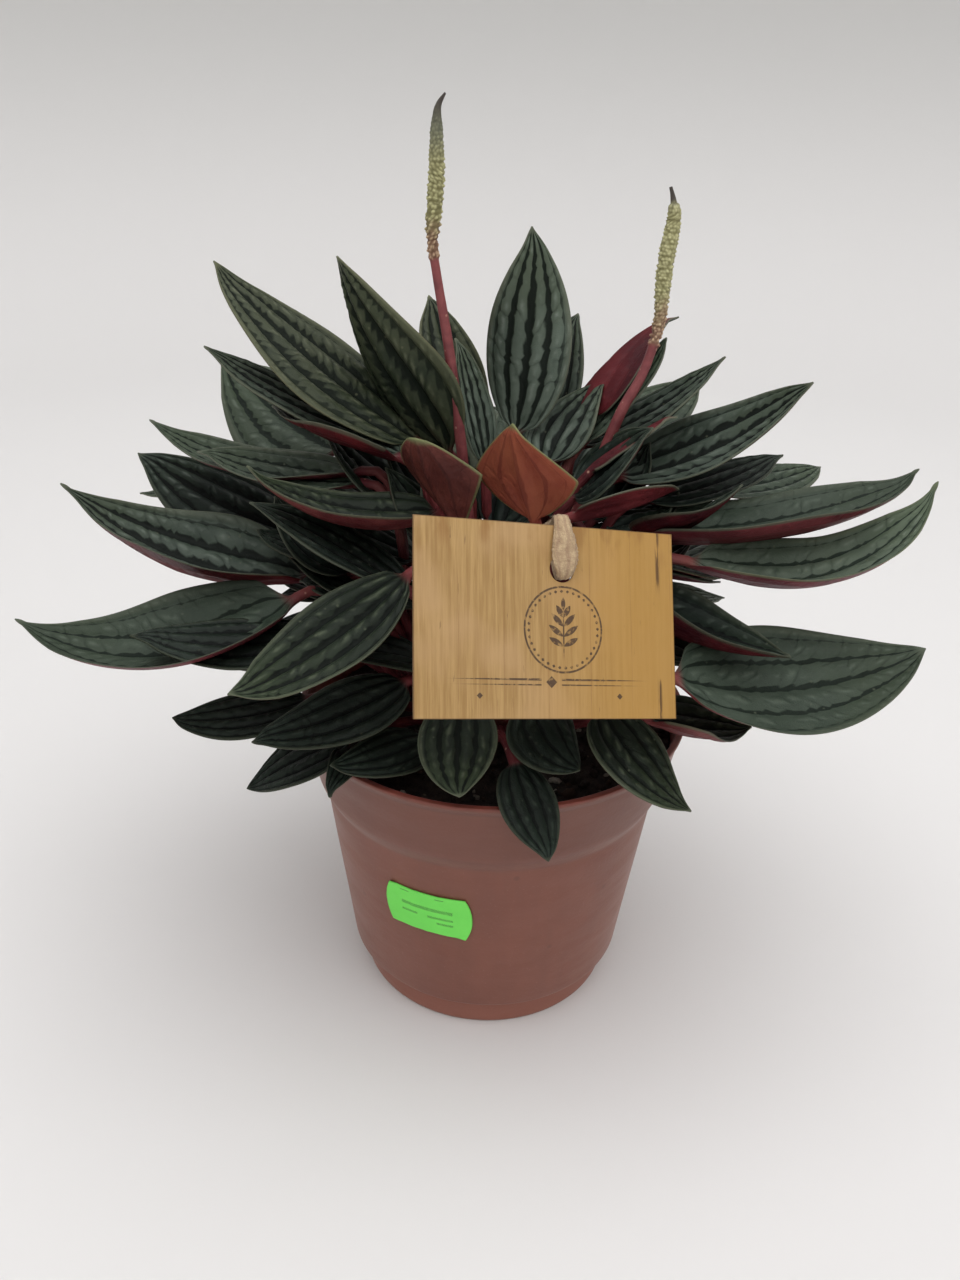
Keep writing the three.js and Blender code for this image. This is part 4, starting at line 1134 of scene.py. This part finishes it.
lensMark = makeGroup("lensMark", paintLens, X=0.0, Z=0.0, AtX=0.0, AtZ=0.0, Turn=0.0, Length=2.0, Width=0.6)


def chartMillimetres(shade, size):
    # How far right and up from the middle of a surface of that size.
    return [axis * length - length / 2 for axis, length in zip(shade.axes(shade.chart()), size)]


def cardInk(shade):
    # A sprig of paired leaves in a broken ring, over a double rule with diamonds. All lengths are millimetres.
    x, z = chartMillimetres(shade, card["size"])
    middleX, middleZ = card["stamp"]
    upright = math.pi / 2

    def lens(atX, atZ, turn, length, width):
        values = {"X": x, "Z": z, "AtX": atX, "AtZ": atZ, "Turn": turn, "Length": length, "Width": width}
        return shade.use(lensMark, **values)["Ink"]

    marks = [lens(middleX, middleZ - 0.4, upright, 6.6, 0.22), lens(middleX, middleZ + 7.0, upright, 1.7, 0.6)]
    for rise, spread, length in ((-3.6, 0.5, 2.3), (-1.2, 0.62, 2.5), (1.3, 0.78, 2.3), (3.6, 1.0, 1.8)):
        for way in (-1, 1):
            atX, atZ = middleX + way * length * math.cos(spread), middleZ + rise + length * math.sin(spread)
            marks.append(lens(atX, atZ, upright - way * (upright - spread), length, 0.75))
    offX, offZ = x - middleX, z - (middleZ + 0.6)
    far = (offX * offX + offZ * offZ).calc("SQRT")
    beat = (offZ.calc("ARCTAN2", offX) * 36.0).calc("SINE")
    marks.append(abs(far - 10.6).ease(0.16, 0.34, 1.0, 0.0))
    marks.append((abs(far - 9.5) + beat * -0.32).ease(-0.02, 0.12, 1.0, 0.0))
    for level, reach, width in ((-14.4, 27.0, 0.3), (-15.7, 25.5, 0.2)):
        marks.append(lens(0.0, level, 0.0, reach, width) * abs(x).ease(2.6, 2.9))
    for atX, atZ, size in ((0.0, -15.0, 1.5), (-19.0, -18.4, 0.8), (19.0, -18.4, 0.8)):
        marks.append((abs(x - atX) + abs(z - atZ)).ease(size - 0.1, size + 0.08, 1.0, 0.0))
    return strongest(marks)


def paintCard(shade):
    # Bamboo: long fibres, slats, a scorched top, dark streaks at the right, worn ink and dark cut edges.
    def grain(x, y, detail=3.0, rough=0.5):
        return shade.noise(shade.chart((x, y, 1.0)), 1.0, detail, rough)

    across, upAlong, unused = shade.axes(shade.chart())
    fibre, fine, cloud = grain(60.0, 1.6, 5.0, 0.65), grain(260.0, 5.0, 4.0, 0.6), grain(3.2, 2.4, 2.0)
    dashes = grain(90.0, 7.0)
    slats = (fibre * 0.02 + across).calc("PINGPONG", 0.083)
    scorched = grain(14.0, 3.4).ease(0.5, 0.66, 0.0, 0.6) * upAlong.ease(0.74, 1.0)
    streak = abs(across - 0.935).ease(0.002, 0.012, 1.0, 0.0) * abs(upAlong - 0.46).ease(0.18, 0.3)
    streak = streak * dashes.ease(0.4, 0.55) * 0.85
    worn = grain(46.0, 31.0, 4.0, 0.7).ease(0.36, 0.5, 0.25, 0.92)
    colour = layered(
        fibre.ease(0.36, 0.66).mix(srgb("9a7846"), srgb("b4925d")),
        (fine.ease(0.35, 0.7, 0.0, 0.35), srgb("926e42")),
        (cloud.ease(0.42, 0.62, 0.0, 0.55), srgb("b8956a")),
        ((cloud * 0.3 + across).ease(0.5, 1.0, 0.0, 0.8), srgb("ac823e")),
        (slats.ease(0.0, 0.003, 0.3, 0.0), srgb("805a32")),
        (scorched, srgb("8a602e")),
        (streak.calc("MAXIMUM", dashes.ease(0.68, 0.76, 0.0, 0.5)), srgb("482e1a")),
        (cardInk(shade) * worn * (1.0 - shade.mask("back")), srgb("422e22")),
        (shade.mask("fromEdge").ease(0.04, 0.3, 0.75, 0.0), srgb("604224")),
    )
    normal = shade.bump(fine * 0.6 + fibre, 0.3, 0.0003)
    return colour, fibre.ease(0.3, 0.7, 0.62, 0.46), normal, {"Specular IOR Level": 0.4}


addPiece("wooden_card", "card", makeMaterial("bambooCard", paintCard), cardSurface(card), "name_card")
print("card cut")


# ---- tie ----
tie = {
    "route": [  # x, y, z, half width, half thickness
        (15.4, -47.0, 158.7, 1.5, 0.6), (16.0, -48.0, 160.4, 2.2, 0.7), (16.1, -47, 162.9, 3.1, 0.75),
        (15.9, -44.9, 165.8, 3.2, 0.75), (15.5, -42.1, 169.5, 2.4, 0.75), (15, -38.6, 171.4, 1.8, 0.7),
        (13.6, -34.5, 168.6, 1.2, 0.8), (10, -28.5, 163.6, 1, 0.9), (7.4, -22.8, 159.8, 0.9, 0.9),
        (10.6, -19, 158, 0.9, 0.9), (13.8, -22.6, 156.6, 0.9, 0.9), (14.6, -31, 156.6, 1.1, 0.9),
        (15, -41, 157.4, 1.3, 0.7),
    ],
    "rows": 340, "columns": 40, "strands": 7, "hairs": 34, "hairRows": 7, "hairRadius": 0.09, "hairSeed": 12,
}


def tieSurface(spec):
    # An oval ribbon on a closed spline. Strands are cosine ridges that wander round it.
    rows, columns = spec["rows"], spec["columns"]
    knots = np.array(spec["route"])
    path, length = splinePath(knots, rows, closed=True)
    centre, wide, thick = path[:, :3], path[:, 3:4], path[:, 4:5]
    way = unit(np.roll(centre, -1, 0) - np.roll(centre, 1, 0))
    side = unit(np.cross(way, knots[:, :3].mean(0) - centre))
    face = unit(np.cross(side, way))
    turn, lap = fullTurn(columns), fullTurn(rows)[:, None]
    drift = 0.5 * np.sin(lap * 7 + 1) + 0.35 * np.sin(lap * 13 + 2)
    strand = np.cos(turn * spec["strands"] + drift)
    fuzz = valueNoise(turn * 5 + 60, np.sin(lap) * 30 + 90, 0.8, 31)
    x, y = -wide * np.cos(turn) * (1 + 0.09 * fuzz), -thick * np.sin(turn) * (1 + 0.1 * strand + 0.12 * fuzz)
    points = ringGrid(centre, side, face, x, y).reshape(-1, 3)
    body = (points, [ringFaces(rows + 1, columns) % len(points)], {"strand": strand.ravel(), "hair": 0.0})
    return joinParts([body, *hairShapes(spec, centre, side, face, wide, thick)])


def hairShapes(spec, centre, side, face, wide, thick):
    # Loose fibres: thin three-sided slivers that lift off the ribbon's edge along a short parabola.
    rng = np.random.default_rng(spec["hairSeed"])
    count = spec["hairs"]
    start = rng.integers(0, int(spec["rows"] * 0.42), count)
    s = np.linspace(0, 1, spec["hairRows"])
    sign = rng.choice([-1.0, 1.0], count)[:, None, None]
    reach = rng.uniform(2.0, 5.0, count)[:, None]
    ahead = (start[:, None] + (s * reach * 3.4).astype(int)) % spec["rows"]
    lift = rng.uniform(0.15, 0.55, count)[:, None, None] * s[:, None] ** 2
    outward = side[ahead] * sign * (wide[ahead] * 0.8 + lift)
    root = centre[ahead] + outward - face[ahead] * (thick[ahead] * 0.7 + lift * 0.6)
    radius, angle = spec["hairRadius"] * (1 - 0.8 * s[:, None]), fullTurn(3)
    x, y = radius * np.cos(angle), radius * np.sin(angle)
    masks = {"strand": 1.0, "hair": 1.0}
    return [sealed(ringGrid(line, side[rows], face[rows], x, y), masks) for line, rows in zip(root, ahead)]


def paintTie(shade):
    # Pale bast with brown between its strands and in its cracks.
    place = shade.place()
    cross = shade.node("TexVoronoi", {"Vector": place, "Scale": 1500.0}, feature="DISTANCE_TO_EDGE")
    cloud = shade.noise(place, 420.0, 5.0, 0.7)
    colour = layered(
        cloud.ease(0.35, 0.65).mix(srgb("a68d6e"), srgb("c2aa88")),
        (shade.mask("strand").ease(-0.9, 0.1, 0.4, 0.0), srgb("8a6a56")),
        (cross.ease(0.0, 0.09, 0.35, 0.0), srgb("785a4a")),
        (shade.mask("hair"), srgb("ba9c7c")),
    )
    constants = {"Specular IOR Level": 0.25, "Sheen Weight": 0.15, "Sheen Roughness": 0.5}
    return colour, cloud.ease(0.3, 0.7, 0.7, 0.92), shade.bump(cloud * 0.5 + cross, 0.7, 0.0004), constants


addPiece("fibre_tie", "tie_fibre", makeMaterial("fibreTie", paintTie), tieSurface(tie), "tie")
print("tie looped")


# ---- price label ----
label = {
    "size": (26.0, 16.0), "thickness": 0.42, "gap": 0.26, "azimuth": -111.0, "height": 50.0, "bulge": 1.9,
    "cells": (64, 40),
}


def labelSurface(spec):
    # A patch on the pot's cone. The side ends bow out by 1 - v^2.2, and two corners lift a little.
    # Strips close its ends.
    width, height = spec["size"]
    u, v = np.meshgrid(*(np.linspace(-1, 1, count) for count in spec["cells"]), indexing="ij")
    across = u * (width / 2 - 0.9 + spec["bulge"] * (1 - np.abs(v) ** 2.2) * np.abs(u) ** 6)
    z = spec["height"] + v * (height / 2 - 0.25 * (1 - u**2))
    lift = 0.5 * smoothStep(np.abs(u) * np.abs(v), 0.75, 1.0) * (u * v < 0)
    lift += 0.12 * valueNoise(u * 6 + 20, v * 5 + 20, 1.0, 7).clip(0)
    body = np.interp(z, [pot["heelHeight"], pot["collarBottom"]], [pot["bodyFoot"], pot["bodyTop"]])
    sheets = []
    for out in (spec["thickness"], 0.0):
        radius = body + spec["gap"] + out + lift
        turn = math.radians(spec["azimuth"]) + across / radius
        sheets.append(np.stack([radius * np.cos(turn), radius * np.sin(turn), z], -1))
    grid = np.concatenate([sheets[0], sheets[1][:, ::-1]], axis=1)
    flat = np.stack([u / 2 + 0.5, v / 2 + 0.5], -1)
    uv = np.concatenate([flat, flat[:, ::-1]], axis=1).reshape(-1, 2)
    back = np.concatenate([u * 0, u * 0 + 1], axis=1).ravel()
    rows, count = grid.shape[:2]
    j = np.arange(count // 2 - 1)
    strip = np.stack([j, j + 1, count - 2 - j, count - 1 - j], -1)
    faces = [ringFaces(rows, count), strip[:, ::-1], strip + (rows - 1) * count]
    return grid.reshape(-1, 3), faces, {"back": back}, uv


def paintLabel(shade):
    # Neon paper with hatched bars in place of print and short slits along its top edge.
    x, z = chartMillimetres(shade, label["size"])
    cloud = shade.noise(shade.place(), 160.0, 5.0, 0.6)
    hatch = (x + z).calc("PINGPONG", 0.32).ease(0.12, 0.2)

    def bar(level, start, end, width):
        inside = abs(z - level).calc("LESS_THAN", width)
        return inside * abs(x - (start + end) / 2).calc("LESS_THAN", (end - start) / 2)

    rows = ((1.9, -8.6, 8.8, 0.62), (-1.2, -8.6, -3.2, 0.4), (-1.2, 0.4, 8.8, 0.4), (-3.4, 3.4, 8.8, 0.4))
    marks = [bar(*row) * hatch for row in rows] + [bar(6.8, at - 1.5, at + 1.5, 0.1) for at in (-7.4, 4.6)]
    worn = shade.noise(shade.place(), 900.0).ease(0.3, 0.45, 0.5, 0.9)
    ink = strongest(marks) * worn * (1.0 - shade.mask("back"))
    colour = layered(cloud.mix(srgb("6ade52"), srgb("82ee68")), (ink, srgb("1e421e")))
    normal = shade.bump(shade.noise(shade.place(), 1300.0, 4.0), 0.15, 0.0002)
    return colour, cloud.ease(0.3, 0.7, 0.5, 0.66), normal, {"Specular IOR Level": 0.35}


addPiece("green_label", "label_paper", makeMaterial("neonPaper", paintLabel), labelSurface(label), "price_label")
print("label stuck on")


# ---- stage ----
studio = {
    "floorRadius": 900.0, "curve": 600.0, "wallTop": 1900.0, "segments": 96, "floorColour": srgb("e3e1e0"),
    "wallShadeColour": srgb("c1c0be"), "fadeHeight": 0.5, "ambient": 1.24, "ambientColour": (0.985, 0.99, 1.0, 1.0),
    "boxPlace": (0.15, -0.35, 1.35), "boxSize": 1.8, "boxPower": 12.0, "aim": (0.0, 0.0, 0.12),
}


def paintFloor(shade):
    # Pale floor; up the wall the colour darkens, painted shade for the light falling off higher on the backdrop.
    height = shade.axes(shade.place())[2].ease(0.0, studio["fadeHeight"])
    return height.mix(studio["floorColour"], studio["wallShadeColour"]), 0.9, {"Specular IOR Level": 0.2}


def makeStage(spec):
    # A round floor that curves up into a wall: a quarter circle between the flat disc and the upright.
    wall = spec["floorRadius"] + spec["curve"]
    turn = np.linspace(0, np.pi / 2, 16)
    size = spec["curve"]
    curve = [(spec["floorRadius"] + size * math.sin(a), size * (1 - math.cos(a))) for a in turn]
    grid = spin(np.array([(0.1, 0.0), *curve, (wall, spec["wallTop"])]), spec["segments"])
    faces = [ringFaces(len(grid), spec["segments"])[:, ::-1]]
    buildMesh("floor", makeMaterial("paleFloor", paintFloor), grid.reshape(-1, 3), faces, {})


def addSoftbox(spec):
    # A square area light that faces the plant's middle.
    data = bpy.data.lights.new("overheadSoftbox", "AREA")
    data.shape, data.size, data.energy = "SQUARE", spec["boxSize"], spec["boxPower"]
    lamp = bpy.data.objects.new("overheadSoftbox", data)
    lamp.location = spec["boxPlace"]
    lamp.rotation_mode = "QUATERNION"
    lamp.rotation_quaternion = (Vector(spec["aim"]) - Vector(spec["boxPlace"])).to_track_quat("-Z", "Y")
    scene.collection.objects.link(lamp)


def lightRoom(spec):
    world = bpy.data.worlds.new("softRoom")
    world.use_nodes = True
    background = world.node_tree.nodes["Background"]
    background.inputs["Color"].default_value = spec["ambientColour"]
    background.inputs["Strength"].default_value = spec["ambient"]
    scene.world = world
    scene.view_settings.view_transform = "Standard"


makeStage(studio)
lightRoom(studio)
addSoftbox(studio)
print("stage lit")
